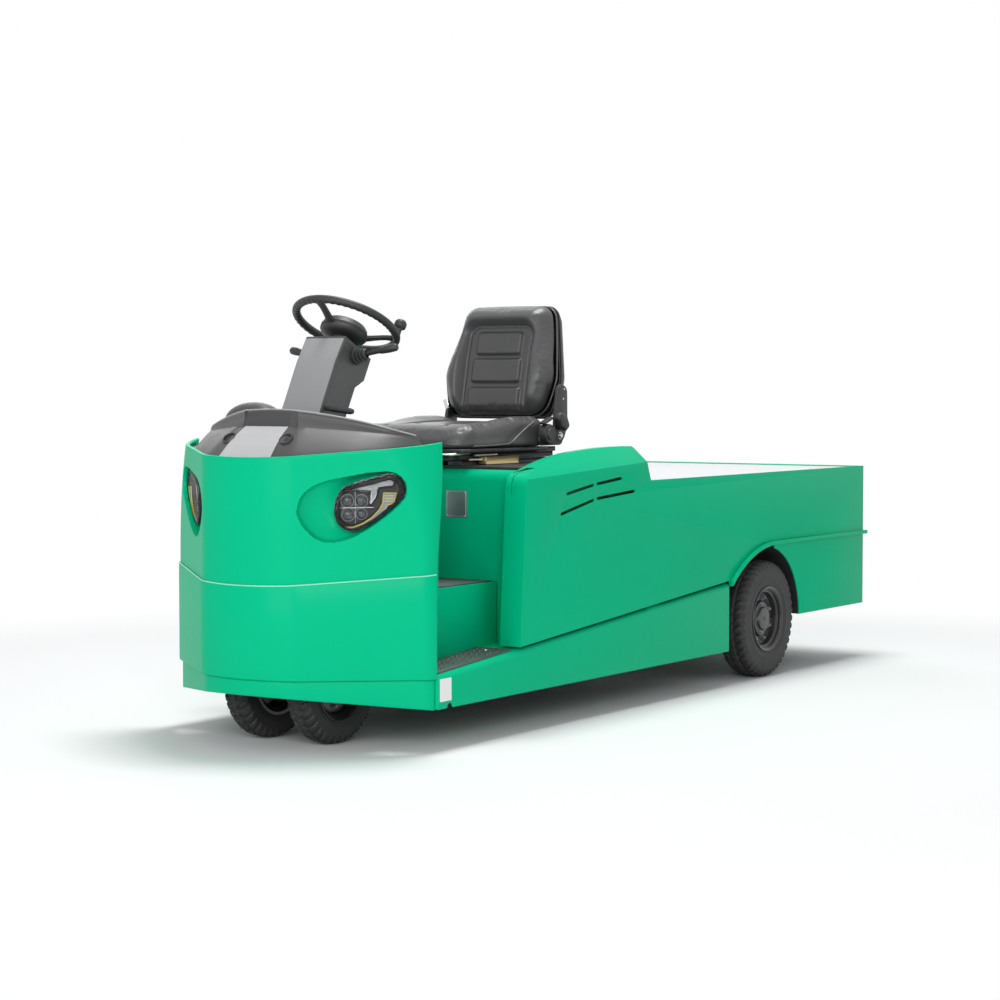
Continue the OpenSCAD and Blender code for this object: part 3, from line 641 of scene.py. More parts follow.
def cornerArc(before, here, after, step):
    # middle of a corner's arc and the rays from it, as the outline passes them
    p = Vector(here[:2])
    a = (Vector(before[:2]) - p).normalized()
    b = (Vector(after[:2]) - p).normalized()
    halfAngle = a.angle(b) / 2
    middle = p + (a + b).normalized() * here[2] / math.sin(halfAngle)
    start = p + a * here[2] / math.tan(halfAngle) - middle
    stop = p + b * here[2] / math.tan(halfAngle) - middle
    sweep = math.atan2(start.x * stop.y - start.y * stop.x, start.dot(stop))
    steps = max(2, round(math.degrees(abs(sweep)) / step))
    return middle, [turned(start, sweep * i / steps) for i in range(steps + 1)]


def nosePath(radius):
    # points (x, s, inward x, inward s) round the front, from the right side to the left
    half = list(nosePlan["corners"])
    half[0] = (*half[0][:2], radius)
    side = (nosePlan["halfWidth"], nosePlan["rear"], 0)
    corners = [(-side[0], side[1], 0)] + [(-x, s, r) for x, s, r in half] + half[1::-1] + [side]
    path = []
    for before, here, after in zip(corners, corners[1:], corners[2:]):
        middle, rays = cornerArc(before, here, after, nosePlan["arcStep"])
        for ray in rays:
            point = middle + ray
            inward = -ray.normalized()
            path.append((point.x, point.y, inward.x, inward.y))
    first, last = path[0], path[-1]
    path.insert(0, (-side[0], side[1], first[2], first[3]))
    path.append((side[0], side[1], last[2], last[3]))
    return path


nosePoints = nosePath(nosePlan["corners"][0][2])
noseTopPoints = nosePath(nosePlan["topRadius"])
noseLengths = [0.0]  # means of the lower and the upper outline
for i in range(1, len(nosePoints)):
    both = [math.dist(path[i - 1][:2], path[i][:2]) for path in (nosePoints, noseTopPoints)]
    noseLengths.append(noseLengths[-1] + sum(both) / 2)


def mixed(first, second, share):
    return [one + (two - one) * share for one, two in zip(first, second)]


def onNose(length, inset, rounder=0.0):
    # place (x, s) on the plan outline moved inwards
    length = max(0.0, min(noseLengths[-1], length))
    low = min(bisect.bisect_right(noseLengths, length), len(noseLengths) - 1) - 1
    t = (length - noseLengths[low]) / max(noseLengths[low + 1] - noseLengths[low], 1e-9)
    sharp, soft = (mixed(path[low], path[low + 1], t) for path in (nosePoints, noseTopPoints))
    x, s, inX, inS = mixed(sharp, soft, rounder)
    return x + inX * inset, s + inS * inset


def lengthAtSide(s, rounder=0.0):
    # path length where the left side passes s
    low, high = noseLengths[-1] / 2, noseLengths[-1]
    for _ in range(30):
        middle = (low + high) / 2
        low, high = (middle, high) if onNose(middle, 0.0, rounder)[1] < s else (low, middle)
    return low


def onPlane(plane, s):
    # height of a sloping plane, given by its height at the nose and its rise in degrees
    return plane[0] + s * math.tan(math.radians(plane[1]))


cowl = {
    "inset": 0.005,
    "thickness": 0.014,
    "rim": 0.005,        # rounding of the free edges
    "overlap": 0.006,    # how far the sheet reaches down behind the bumper
    "rounding": 2.5,     # power by which the corners grow rounder with height
    "seam": (0.486, 6.0),      # height at the nose, rise in degrees
    "top": (0.858, 6.9),
    "rear": (0.310, 0.486, 6.7),  # s, height, lean in degrees
    "seal": (160, 0.0022, 0.0006, 0.004),  # points, radius, lift and gap at the ends
    "columns": 372,
    "rows": 116,
    # shares of width and height between which the grid is denser, by these factors
    "denseAcross": (3, (0, 0.02, 0.36, 0.64, 0.98, 1)),
    "denseUp": (3, (0, 0.28, 0.88, 1)),
    # distance along the facet and height round the lamp's hollow
    "recess": [(0.0227, 0.7099), (0.0338, 0.7450), (0.0601, 0.7713), (0.1039, 0.7909), (0.1697, 0.8047),
               (0.2268, 0.8146), (0.2707, 0.8189), (0.3059, 0.8135), (0.3288, 0.7945), (0.3367, 0.7702),
               (0.3300, 0.7438), (0.3013, 0.7130), (0.2572, 0.6780), (0.2131, 0.6495), (0.1648, 0.6277),
               (0.1165, 0.6192), (0.0771, 0.6304), (0.0465, 0.6570), (0.0291, 0.6835)],
    "recessBox": (-0.03, 0.38, 0.57, 0.87),  # the hollow lies inside these bounds
    "depth": 0.048,
    "lip": 0.005,        # how far outside its outline the hollow starts to fall
    "wallInner": 0.105,  # run of the fall on the side towards the middle
    "wallOuter": 0.014,
    "wallShare": (0.06, 0.16),  # distance along the facet over which one becomes the other
}
(outerX, outerS), (innerX, innerS) = (corner[:2] for corner in nosePlan["corners"][:2])
facetTurn = math.atan2(outerS - innerS, outerX - innerX)
facetPlace = Matrix.Translation(alongBody(innerX, innerS, 0)) @ Matrix.Rotation(facetTurn, 4, "Z")
mirrorX = Matrix.Scale(-1, 4, (1, 0, 0))


def roundedOutline(corners, step=8.0):
    # corners (x, y, radius) round a convex outline, as points
    points = []
    for i, here in enumerate(corners):
        middle, rays = cornerArc(corners[i - 1], here, corners[(i + 1) % len(corners)], step)
        points += [middle + ray for ray in rays]
    return points


def smoothOutline(places, fine=4):
    # a closed line that passes the places in a soft curve
    points = []
    count = len(places)
    for i in range(count):
        a, b, c, d = (Vector(places[(i + k) % count]) for k in (-1, 0, 1, 2))
        for k in range(fine):
            q = k / fine
            points.append(0.5 * (2 * b + (c - a) * q + (2 * a - 5 * b + 4 * c - d) * q * q +
                                 (3 * b - a - 3 * c + d) * q * q * q))
    return points


def insideDistance(point, outline):
    # how far a point lies inside an outline, negative outside
    nearest = 9.0
    inside = False
    count = len(outline)
    for i in range(count):
        a, b = outline[i - 1], outline[i]
        run = b - a
        t = max(0.0, min(1.0, (point - a).dot(run) / max(run.length_squared, 1e-12)))
        nearest = min(nearest, (point - a - run * t).length)
        if (a.y > point.y) != (b.y > point.y):
            if point.x < a.x + (point.y - a.y) * run.x / run.y:
                inside = not inside
    return nearest if inside else -nearest


def recessDepth(u, z, outline):
    left, right, low, high = cowl["recessBox"]
    if not (left < u < right and low < z < high):
        return 0.0
    q = insideDistance(Vector((u, z)), outline)
    if q < -cowl["lip"]:
        return 0.0
    begin, over = cowl["wallShare"]
    share = ease((u - begin) / over)
    wall = cowl["wallInner"] + (cowl["wallOuter"] - cowl["wallInner"]) * share
    fall = max(0.0, min(1.0, (q + cowl["lip"]) / (wall + cowl["lip"])))
    bowl = math.sqrt(1 - (1 - fall) ** 2) if q > 0 else 0.0
    edge = ease((q + cowl["lip"]) / (2 * cowl["lip"]))
    return cowl["depth"] * bowl * edge


def crowded(t, weight, bounds):
    # grid lines move together in every second span
    spans = list(zip(bounds, bounds[1:]))
    sizes = [(b - a) * (weight if i % 2 else 1) for i, (a, b) in enumerate(spans)]
    left = t * sum(sizes)
    for (a, b), size in zip(spans, sizes):
        if left <= size:
            return a + (b - a) * left / size
        left -= size
    return bounds[-1]


def makeCowl():
    columns, rows = cowl["columns"], cowl["rows"]
    grid = addPrimitive("grid", "frontCowl", x_subdivisions=columns, y_subdivisions=rows, size=2)
    outline = smoothOutline(cowl["recess"])
    toFacet = facetPlace.inverted()
    inward = facetPlace.to_3x3() @ Vector((0, 1, 0))
    rearS, rearZ, lean = cowl["rear"]
    lean = math.tan(math.radians(lean))
    ends = {}

    def heightAt(s, up):
        low, high = onPlane(cowl["seam"], s), onPlane(cowl["top"], s)
        return low + up * (high - low)

    def place(flat):
        across = crowded((flat.x + 1) / 2, *cowl["denseAcross"])
        up = crowded((flat.y + 1) / 2, *cowl["denseUp"])
        rounder = up ** cowl["rounding"]
        if up not in ends:
            end = rearS
            for _ in range(3):
                end = rearS + (heightAt(end, up) - rearZ) * lean
            ends[up] = lengthAtSide(end, rounder)
        last = ends[up]
        first = noseLengths[-1] - last
        x, s = onNose(first + (last - first) * across, cowl["inset"], rounder)
        z = heightAt(s, up)
        point = alongBody(abs(x), s, z - cowl["overlap"] * (1 - up))
        local = toFacet @ point
        point += inward * recessDepth(local.x, z, outline)
        return Vector((math.copysign(point.x, x), point.y, point.z))

    movePoints(grid, place)
    makeActive(grid)
    editAll()
    bpy.ops.mesh.normals_make_consistent(inside=False)
    objectMode()
    middle = min(grid.data.polygons, key=lambda face: face.center.y)
    if middle.normal.y > 0:
        grid.data.flip_normals()
    # the free edges are rounded, on both skins
    uses = {}
    for face in grid.data.polygons:
        for pair in face.edge_keys:
            uses[pair] = uses.get(pair, 0) + 1
    count = len(grid.data.vertices)
    free = {pair for pair, faces in uses.items() if faces == 1}
    free |= {(low + count, high + count) for low, high in free}
    modify(grid, "SOLIDIFY", thickness=cowl["thickness"], offset=-1.0)
    bpy.ops.object.mode_set(mode="EDIT")
    bpy.ops.mesh.select_mode(type="EDGE")
    bpy.ops.mesh.select_all(action="DESELECT")
    objectMode()
    for edge in grid.data.edges:
        edge.select = edge.key in free
    bpy.ops.object.mode_set(mode="EDIT")
    bpy.ops.mesh.bevel(offset=cowl["rim"], segments=3, affect="EDGES")
    objectMode()
    smooth(grid, 40)
    return finished(grid, "green", replaces=["front_cowl"])


def makeSeamHighlight():
    # pale green rod along the seam between cowl and bumper: a painted highlight standing in for the light
    # caught by the bumper's top edge
    count, radius, lift, gap = cowl["seal"]
    last = lengthAtSide(cowl["rear"][0] - gap)
    first = noseLengths[-1] - last
    path = []
    for i in range(count):
        x, s = onNose(first + (last - first) * i / (count - 1), radius)
        path.append(alongBody(x, s, onPlane(cowl["seam"], s) + lift))
    seal = rod("bumperSeamHighlight", path, radius, curved=False)
    finished(seal, "seal")


makeCowl()
makeSeamHighlight()
print("cowl made")


lampDesign = {
    "outline": [(0.1290, 0.7084), (0.1349, 0.7400), (0.1530, 0.7690), (0.1915, 0.7868), (0.2449, 0.8012),
                (0.2890, 0.8106), (0.3160, 0.8044), (0.3310, 0.7835), (0.3345, 0.7600), (0.3220, 0.7370),
                (0.2860, 0.7060), (0.2460, 0.6750), (0.2055, 0.6528), (0.1740, 0.6462), (0.1460, 0.6598),
                (0.1325, 0.6830)],
    "front": 0.022,      # depth of the cover's edge below the facet
    "back": 0.046,
    "bulge": 0.010,
    "rim": 0.005,
    # distance along the facet, height, radius of each lens
    "lenses": [(0.1670, 0.7330, 0.0180), (0.1690, 0.6930, 0.0180), (0.2075, 0.7330, 0.0175),
               (0.2080, 0.6950, 0.0155)],
    # shares of a lens's radius and distance from its seat
    "cup": [(0.55, 0.0), (0.8, 0.005), (1, 0.011), (1.08, 0.011), (1.1, 0.0)],
    "bulb": [(0.0, 0.0105), (0.3, 0.0100), (0.55, 0.0082), (0.72, 0.005), (0.78, 0.0005)],
    "bars": [((0.190, 0.668), (0.190, 0.760)), ((0.146, 0.7125), (0.242, 0.7135))],
    "reflector": [(0.160, 0.762), (0.200, 0.776), (0.290, 0.797), (0.310, 0.788), (0.300, 0.772),
                  (0.262, 0.768), (0.252, 0.740), (0.236, 0.716), (0.228, 0.722), (0.232, 0.756)],
    "indicator": [(0.1609, 0.6587), (0.1829, 0.6575), (0.2094, 0.6675), (0.2359, 0.6838), (0.2580, 0.7058),
                  (0.2690, 0.7270), (0.2713, 0.7563), (0.3089, 0.7561), (0.3000, 0.7255), (0.2830, 0.7215),
                  (0.2712, 0.6988), (0.2447, 0.6768), (0.2093, 0.6552), (0.1785, 0.6500)],
    "ladder": [(0.2722, 0.3030, 0.7480), (0.2722, 0.3012, 0.7400), (0.2713, 0.2992, 0.7322)],
}


def outwardSheet(name, outline, depth):
    # an outline on the facet as one face that looks outwards, in edit mode
    piece = facePiece(name, [(u, depth, z) for u, z in outline])
    editAll()
    if piece.data.polygons[0].normal.y > 0:
        bpy.ops.mesh.flip_normals()
    return piece


def makeLampTray():
    # dark tray: the rim turns in, then falls to a smaller floor
    tray = outwardSheet("headlampTray", smoothOutline(lampDesign["outline"]), lampDesign["front"])
    insetSelected((lampDesign["rim"], 0.002), (0.004, -0.006), (0.010, -0.014))
    modify(tray, "SOLIDIFY", thickness=0.002, offset=-1.0)
    smooth(tray, 30)
    return tray


def makeLampCover():
    cover = outwardSheet("headlampCover", smoothOutline(lampDesign["outline"]), lampDesign["front"] - 0.004)
    bpy.ops.mesh.inset(thickness=lampDesign["rim"] * 0.6, depth=0)
    bpy.ops.mesh.select_all(action="INVERT")
    bpy.ops.mesh.delete(type="FACE")
    bpy.ops.mesh.select_all(action="SELECT")
    insetSelected(*((0.007, lampDesign["bulge"] * (0.34 - 0.06 * step)) for step in range(5)))
    modify(cover, "SOLIDIFY", thickness=0.0015, offset=-1.0)
    smooth(cover, 60)
    return cover


def makeLampLenses():
    # a cup, a clear bulb-shaped lens and its ring for each beam
    made = {"cup": [], "bulb": []}
    for u, z, r in lampDesign["lenses"]:
        seat = Matrix.Translation((u, lampDesign["back"] - 0.005, z))
        for kind, pieces in made.items():
            profile = [(r * share, along) for share, along in lampDesign[kind]]
            pieces.append(placed(spun(kind, profile, 28, (0, -1, 0)), seat))
    lens = joined("headlampLenses", made["bulb"])
    smooth(lens, 60)
    depth = lampDesign["back"] - 0.018
    bars = [rod("lampBar", [(u, depth, z) for u, z in bar], 0.0017, curved=False)
            for bar in lampDesign["bars"]]
    ring = joined("headlampCups", made["cup"] + bars)
    smooth(ring, 50)
    return lens, ring


def makeLampReflector():
    # slanted bright steps above the lenses
    plate = outwardSheet("headlampReflector", lampDesign["reflector"], lampDesign["back"] - 0.012)
    insetSelected((0.004, 0.004), (0.003, -0.003))
    modify(plate, "SOLIDIFY", thickness=0.002, offset=-1.0)
    smooth(plate, 20)
    return plate


def makeIndicator():
    depth = lampDesign["front"] - 0.003
    line = [(u, depth, z) for u, z in lampDesign["indicator"]]
    parts = [rod("indicator", line, 0.0017, closed=True, curved=False)]
    for u0, u1, z in lampDesign["ladder"]:
        parts.append(rod("indicator", [(u0, depth, z), (u1, depth, z)], 0.0012, curved=False))
    band = facePiece("headlampBand", [(u, depth + 0.001, z) for u, z in lampDesign["indicator"]])
    editAll()
    insetSelected((0.0015, 0.001))
    modify(band, "SOLIDIFY", thickness=0.002)
    return joined("headlampIndicator", parts), band


def makeHeadlamps():
    tray, cover = makeLampTray(), makeLampCover()
    lens, ring = makeLampLenses()
    plate = makeLampReflector()
    line, band = makeIndicator()
    made = [(tray, "blackPlastic"), (cover, "cover"), (lens, "lens"), (ring, "chrome"), (plate, "chrome"),
            (line, "yellow"), (band, "plate")]
    for piece, paint in made:
        name = piece.name
        left = placed(piece, facetPlace)
        right = copied(left, mirrorX)
        for one, side in ((left, "left"), (right, "right")):
            one.name = name + side.title()
            stands = ["headlamp_" + side] if name == "headlampTray" else []
            finished(one, paint, replaces=stands)


makeHeadlamps()
print("headlamps made")


# Dash: a sloping ring with a flat middle, a steep band and a crowned top

dash = {
    "rear": 0.340,
    # across, behind the nose, radius
    "corners": [(0.490, 0.290, 0.330), (0.165, 0.0308, 0.140), (0.100, 0.0106, 0.012)],
    "leastRadius": 0.004,
    "arcPoints": 7,
    "straightPoints": 9,
    "foot": (0.846, 6.9),    # height at the nose and rise in degrees
    "ringTop": (0.966, -8.5),
    "crown": (0.167, 0.994, -4.8, 1.280),  # s, height, rise in degrees, radius across
    "ringFoot": 0.012,
    "ringEdge": 0.126,
    "bandFoot": 0.131,
    "bandLean": 0.012,
    "edge": 0.010,
    "eye": (0.106, 0.60, 0.021),   # round hole: across, share of the slope, radius
    # shares of the hole's radius and distance out of the slope; the ring is the hole's rim, and the
    # near-black disc inside it is painted shade in place of the hole's depth
    "eyeRing": [(0.80, -0.004), (0.86, 0.0035), (1, 0.004), (1.1, 0.001), (1.1, -0.006)],
    "eyeHoleShade": [(0.0, 0.001), (0.5, 0.0004), (0.84, -0.002)],
    "least": 0.24,                 # least share of the slope's run, at the ends
    "ends": (0.13, 0.30, 0.052),   # s from and to which the foot draws in, to this inset
    "facet": (48, 58),             # points of the flat middle on a loop
    "pod": (-0.195, 0.312, 0.955, 0.100, 0.058, 0.060),  # middle and half sizes
    "podSquare": 2.6,              # power that squares the pod's plan
}


def dashPath(inset):
    # the plan outline moved inwards, with the same number of points at every inset
    half, rear = dash["corners"], dash["rear"]
    sideX, sideS = nosePlan["halfWidth"], nosePlan["rear"]
    outline = [(-sideX, sideS, 0.0)] + [(-x, s, r) for x, s, r in half] + half[::-1] + [(sideX, sideS, 0.0)]
    moved = []
    for before, here, after in zip(outline, outline[1:], outline[2:]):
        p = Vector(here[:2])
        a = (p - Vector(before[:2])).normalized()
        b = (Vector(after[:2]) - p).normalized()
        n, m = Vector((-a.y, a.x)), Vector((-b.y, b.x))
        q = p + (n + m) * (inset / (1 + n.dot(m)))
        moved.append((q.x, q.y, max(here[2] - inset, dash["leastRadius"])))
    ends = [(-sideX + inset, sideS, 0.0), (sideX - inset, sideS, 0.0)]
    corners = [ends[0]] + moved + [ends[1]]
    points = []

    def straightTo(target):
        begin = points[-1]
        for i in range(1, dash["straightPoints"] + 1):
            points.append(begin.lerp(target, i / dash["straightPoints"]))

    for before, here, after in zip(corners, corners[1:], corners[2:]):
        middle, rays = cornerArc(before, here, after, 360)
        start, stop = rays[0], rays[-1]
        # the round corners are cut off at the dash's rear
        drop = rear - middle.y
        if before == ends[0] and start.y > drop:
            start = Vector((-math.sqrt(here[2] ** 2 - drop ** 2), drop))
        if after == ends[1] and stop.y > drop:
            stop = Vector((math.sqrt(here[2] ** 2 - drop ** 2), drop))
        if not points:
            points.append(Vector((min(middle.x + start.x, ends[0][0] + 0.2), rear)))
        sweep = math.atan2(start.x * stop.y - start.y * stop.x, start.dot(stop))
        straightTo(middle + start)
        for i in range(1, dash["arcPoints"] + 1):
            points.append(middle + turned(start, sweep * i / dash["arcPoints"]))
    straightTo(Vector((points[-1].x, rear)))
    return points


def dashLoops():
    # the loops at foot and upper edge of the ring, whose slope runs shorter where it is lower
    foot, top = dashPath(dash["ringFoot"]), dashPath(dash["ringEdge"])
    begin, end, inset = dash["ends"]
    foot = [p.lerp(q, ease((p.y - begin) / (end - begin))) for p, q in zip(foot, dashPath(inset))]
    rise = [onPlane(dash["ringTop"], p.y) - onPlane(dash["foot"], p.y) for p in foot]
    steps = [(q - p) * max(r / max(rise), dash["least"]) for p, q, r in zip(foot, top, rise)]
    return foot, steps


dashFoot, dashSteps = dashLoops()


def dashLoop(inset):
    share = (inset - dash["ringFoot"]) / (dash["ringEdge"] - dash["ringFoot"])
    return [p + step * share for p, step in zip(dashFoot, dashSteps)]


def crownHeight(x, s):
    s0, high, rise, radius = dash["crown"]
    return high + (s - s0) * math.tan(math.radians(rise)) - radius + math.sqrt(radius * radius - x * x)


def skinned(name, rows, closeTop=False):
    # rows of points with equal counts, joined by faces
    count = len(rows[0])
    faces = []
    for r in range(len(rows) - 1):
        for i in range(count - 1):
            faces.append((r * count + i, r * count + i + 1, (r + 1) * count + i + 1, (r + 1) * count + i))
    if closeTop:
        last = (len(rows) - 1) * count
        for i in range(count // 2):
            low, high = last + i, last + count - 1 - i
            if high - low > 2:
                faces.append((low, low + 1, high - 1, high))
            elif high - low == 2:
                faces.append((low, low + 1, high))
    return meshPiece(name, [p for row in rows for p in row], [], faces)


def makeDashRing():
    rows = []
    foot, edge = dash["ringFoot"], dash["ringEdge"]
    # share of the slope, extra drop at the foot and at the inner edge
    steps = [(0.0, -0.003)] + [(k / 8, 0.0) for k in range(1, 8)]
    steps += [(0.965, -0.0008), (1.0, -0.0004), (1.03, -0.003), (1.05, -0.010)]
    # a narrow ledge closes the gap to the cowl
    rows.append([alongBody(p.x, p.y, onPlane(dash["foot"], p.y) - 0.006) for p in dashPath(foot)])
    for share, drop in steps:
        row = []
        for p in dashLoop(foot + (edge - foot) * share):
            low, high = onPlane(dash["foot"], p.y), onPlane(dash["ringTop"], p.y)
            row.append(alongBody(p.x, p.y, low + (high - low) * min(share, 1.0) + drop))
        rows.append(row)
    ring = skinned("dashRing", rows)
    cleanMesh(ring)
    modify(ring, "SOLIDIFY", thickness=0.004, offset=-1.0)
    smooth(ring, 28)
    return finished(ring, "dash", replaces=["dash_lower"])


def makeDashBand():
    rows = []
    edge = dash["edge"]
    # share of the lean beyond the foot, share of the height
    for lean, share in ((-0.001, -0.02), (0.0, 0.0), (0.3, 0.3), (0.6, 0.6), (0.85, 0.8)):
        row = []
        for p in dashLoop(dash["bandFoot"] + dash["bandLean"] * lean):
            low = onPlane(dash["ringTop"], p.y) - 0.002
            high = crownHeight(p.x, p.y) - edge
            row.append(alongBody(p.x, p.y, low + (max(high, low + 0.004) - low) * share))
        rows.append(row)
    for turn in (0, 22, 45, 67, 90):
        c, s = math.cos(math.radians(turn)), math.sin(math.radians(turn))
        row = []
        for p in dashLoop(dash["bandFoot"] + dash["bandLean"] + edge * (1 - c)):
            row.append(alongBody(p.x, p.y, crownHeight(p.x, p.y) - edge * (1 - s)))
        rows.append(row)
    for inset in (0.02, 0.045, 0.08):
        row = [alongBody(p.x, p.y, crownHeight(p.x, p.y))
               for p in dashLoop(dash["bandFoot"] + dash["bandLean"] + edge + inset)]
        rows.append(row)
    band = skinned("dashBand", rows, closeTop=True)
    cleanMesh(band)
    smooth(band, 32)
    return finished(band, "dash", replaces=["dash_upper"])


def makeDashTrim():
    # light grey rod along the upper edge as a painted edge highlight, a pale middle panel as a painted
    # reflection, two round holes whose near-black discs are painted shade, and the far pod
    edge = [alongBody(p.x, p.y, crownHeight(p.x, p.y) + 0.0005)
            for p in dashLoop(dash["bandFoot"] + dash["bandLean"] + dash["edge"] * 0.9)]
    edgeHighlightRod = rod("dashEdgeHighlight", edge, 0.0024, curved=False)
    finished(edgeHighlightRod, "edgeHighlightGrey")
    # the pale middle panel is a painted reflection on the dark dash
    low, high = dash["facet"]
    rows = []
    for share in (0.04, 0.35, 0.68, 0.985):
        loop = dashLoop(dash["ringFoot"] + (dash["ringEdge"] - dash["ringFoot"]) * share)[low:high]
        rows.append([alongBody(p.x, p.y - 0.0007, 0.0009 + onPlane(dash["foot"], p.y) * (1 - share) +
                               onPlane(dash["ringTop"], p.y) * share) for p in loop])
    facet = skinned("dashFacet", rows)
    finished(facet, "silverGrey")
    foot, top = rows[0][0], rows[-1][0]
    x, share, r = dash["eye"]
    facing = Vector((0, foot.z - top.z, top.y - foot.y)).normalized()
    middle = foot.lerp(top, share)
    # the near-black discs are painted shade standing in for the depth of the holes
    made = {"eyeRing": [], "eyeHoleShade": []}
    for side in (-1, 1):
        seat = Matrix.Translation(Vector((side * x, middle.y, middle.z)) + facing * 0.001)
        for kind, pieces in made.items():
            profile = [(r * width, along) for width, along in dash[kind]]
            pieces.append(placed(spun(kind, profile, 36, facing), seat))
    grouped("dashEyeRings", made["eyeRing"], 40, "blackPlastic")
    grouped("dashEyeHoleShades", made["eyeHoleShade"], 60, "holeShadeBlack")
    pod = addPrimitive("uv_sphere", "dashPod", segments=40, ring_count=24, radius=1)
    lift = alongBody(*dash["pod"][:3])
    wide, deep, high = dash["pod"][3:]
    power = dash["podSquare"]

    def shape(p):
        square = (abs(p.x) ** power + abs(p.y) ** power) ** (1 / power) / max(math.hypot(p.x, p.y), 1e-6)
        square = max(square, 1e-3)
        return lift + Vector((p.x / square * wide, p.y / square * deep, p.z * high))

    movePoints(pod, shape)
    smooth(pod, 60)
    finished(pod, "dash")


makeDashRing()
makeDashBand()
makeDashTrim()
print("dash made")


# Steering column: cover, levers and the wheel on its own body

columnSize = {
    "half": 0.075,
    # s and height round the cover's side
    "side": [(0.268, 0.940), (0.369, 1.138), (0.417, 1.214), (0.544, 1.146), (0.508, 1.079), (0.463, 1.058),
             (0.401, 0.940)],
    "round": 0.009,
    # half width and lift of the front plate, shares of the lower and upper slope where it starts and ends
    "plate": (0.072, 0.0025, 0.03, 0.91),
    "axis": (0.480, 1.180, 28.0),   # s, height, tilt of the steering axis in degrees
    "lever": (0.075, -0.030, 12.0),  # across, along the axis, rise in degrees
    "reach": ((1, 0.150), (-1, 0.110)),  # side and length of each lever
    # radius, share of the lever's length
    "grip": [(0.0075, 0.55), (0.0105, 0.62), (0.0125, 0.8)],
    "brake": (0.040, 0.322, 1.000),  # place of the knob under the column
    "brakeKnob": [(0.0, 0.0), (0.009, 0.001), (0.013, 0.008), (0.013, 0.017), (0.008, 0.024), (0.007, 0.04),
                  (0.0085, 0.06), (0.0095, 0.125), (0.007, 0.134), (0.0, 0.137)],
    "brakeAim": (0.995, 0, -0.09),
    "brakeStem": [(0.050, 0.322, 1.0), (0.050, 0.324, 0.965)],
    "boot": [(0.027, 0.0), (0.027, 0.006), (0.021, 0.009), (0.024, 0.013), (0.024, 0.016), (0.018, 0.019),
             (0.021, 0.023), (0.021, 0.026), (0.016, 0.029), (0.018, 0.033), (0.018, 0.036), (0.012, 0.041)],
}
columnPlace = Matrix.Translation(alongBody(0, columnSize["axis"][0], columnSize["axis"][1])) @ \
    Matrix.Rotation(math.radians(-columnSize["axis"][2]), 4, "X")


def makeColumnCover():
    half = columnSize["half"]
    cover = slab("columnCover", [alongBody(-half, s, z) for s, z in columnSize["side"]], (2 * half, 0, 0))
    # panel lines on the flanks
    insetFaces(cover, lambda n: abs(n.x) > 0.9, (0.012, 0), (0.002, -0.002))
    roundEdges(cover, columnSize["round"], 4, 40)
    smooth(cover, 40)
    finished(cover, "columnGrey", replaces=["column_cover"])
    # the lighter plate follows both slopes of the cover's front
    wide, lift, start, stop = columnSize["plate"]
    low, bend, high = (Vector(p) for p in columnSize["side"][:3])
    run = [low.lerp(bend, start), bend, bend.lerp(high, stop)]
    out = Vector((low.y - bend.y, bend.x - low.x)).normalized() * lift
    ring = [p + out for p in run] + [p - out for p in reversed(run)]
    plate = slab("columnFace", [alongBody(-wide, p.x, p.y) for p in ring], (2 * wide, 0, 0))
    roundEdges(plate, 0.0018, 3, 30)
    smooth(plate, 35)
    finished(plate, "paleGrey")


def makeLevers():
    across, along, rise = columnSize["lever"]
    turn = math.radians(rise)
    sticks, boots = [], []
    for side, reach in columnSize["reach"]:
        aim = Vector((side * math.cos(turn), 0, math.sin(turn)))
        seat = columnPlace @ Matrix.Translation((side * across, 0, along))
        boots.append(placed(spun("leverBoot", columnSize["boot"], 28, aim), seat))
        grip = [(radius, reach * share) for radius, share in columnSize["grip"]]
        grip = [(0.0, 0.020), (0.0075, 0.020), *grip,
                (0.0120, reach - 0.006), (0.0085, reach - 0.001), (0.0, reach)]
        sticks.append(placed(spun("leverGrip", grip, 24, aim), seat))
    knob = spun("brakeKnob", columnSize["brakeKnob"], 22, columnSize["brakeAim"])
    sticks.append(placed(knob, Matrix.Translation(alongBody(*columnSize["brake"]))))
    sticks.append(rod("brakeStem", [alongBody(*p) for p in columnSize["brakeStem"]], 0.008, curved=False))
    grouped("leverBoots", boots, 50, "blackPlastic")
    grouped("columnLevers", sticks, 40, "blackPlastic", ["column_levers"])


steering = {
    "rimRadius": 0.159,
    "rimThick": 0.013,
    "height": 0.080,
    "ridges": 48,
    "spokeTurns": [34, 146, 270],
    "hub": [(0.0, 0.088), (0.024, 0.0875), (0.048, 0.0845), (0.063, 0.079), (0.070, 0.071), (0.0715, 0.062),
            (0.074, 0.060), (0.074, 0.048), (0.066, 0.038), (0.050, 0.031), (0.034, 0.028), (0.034, 0.0008)],
    "knob": [(0.009, 0.008), (0.009, 0.030), (0.012, 0.034), (0.018, 0.038), (0.0195, 0.046), (0.0185, 0.055),
             (0.014, 0.061), (0.006, 0.0635), (0.0, 0.064)],
}


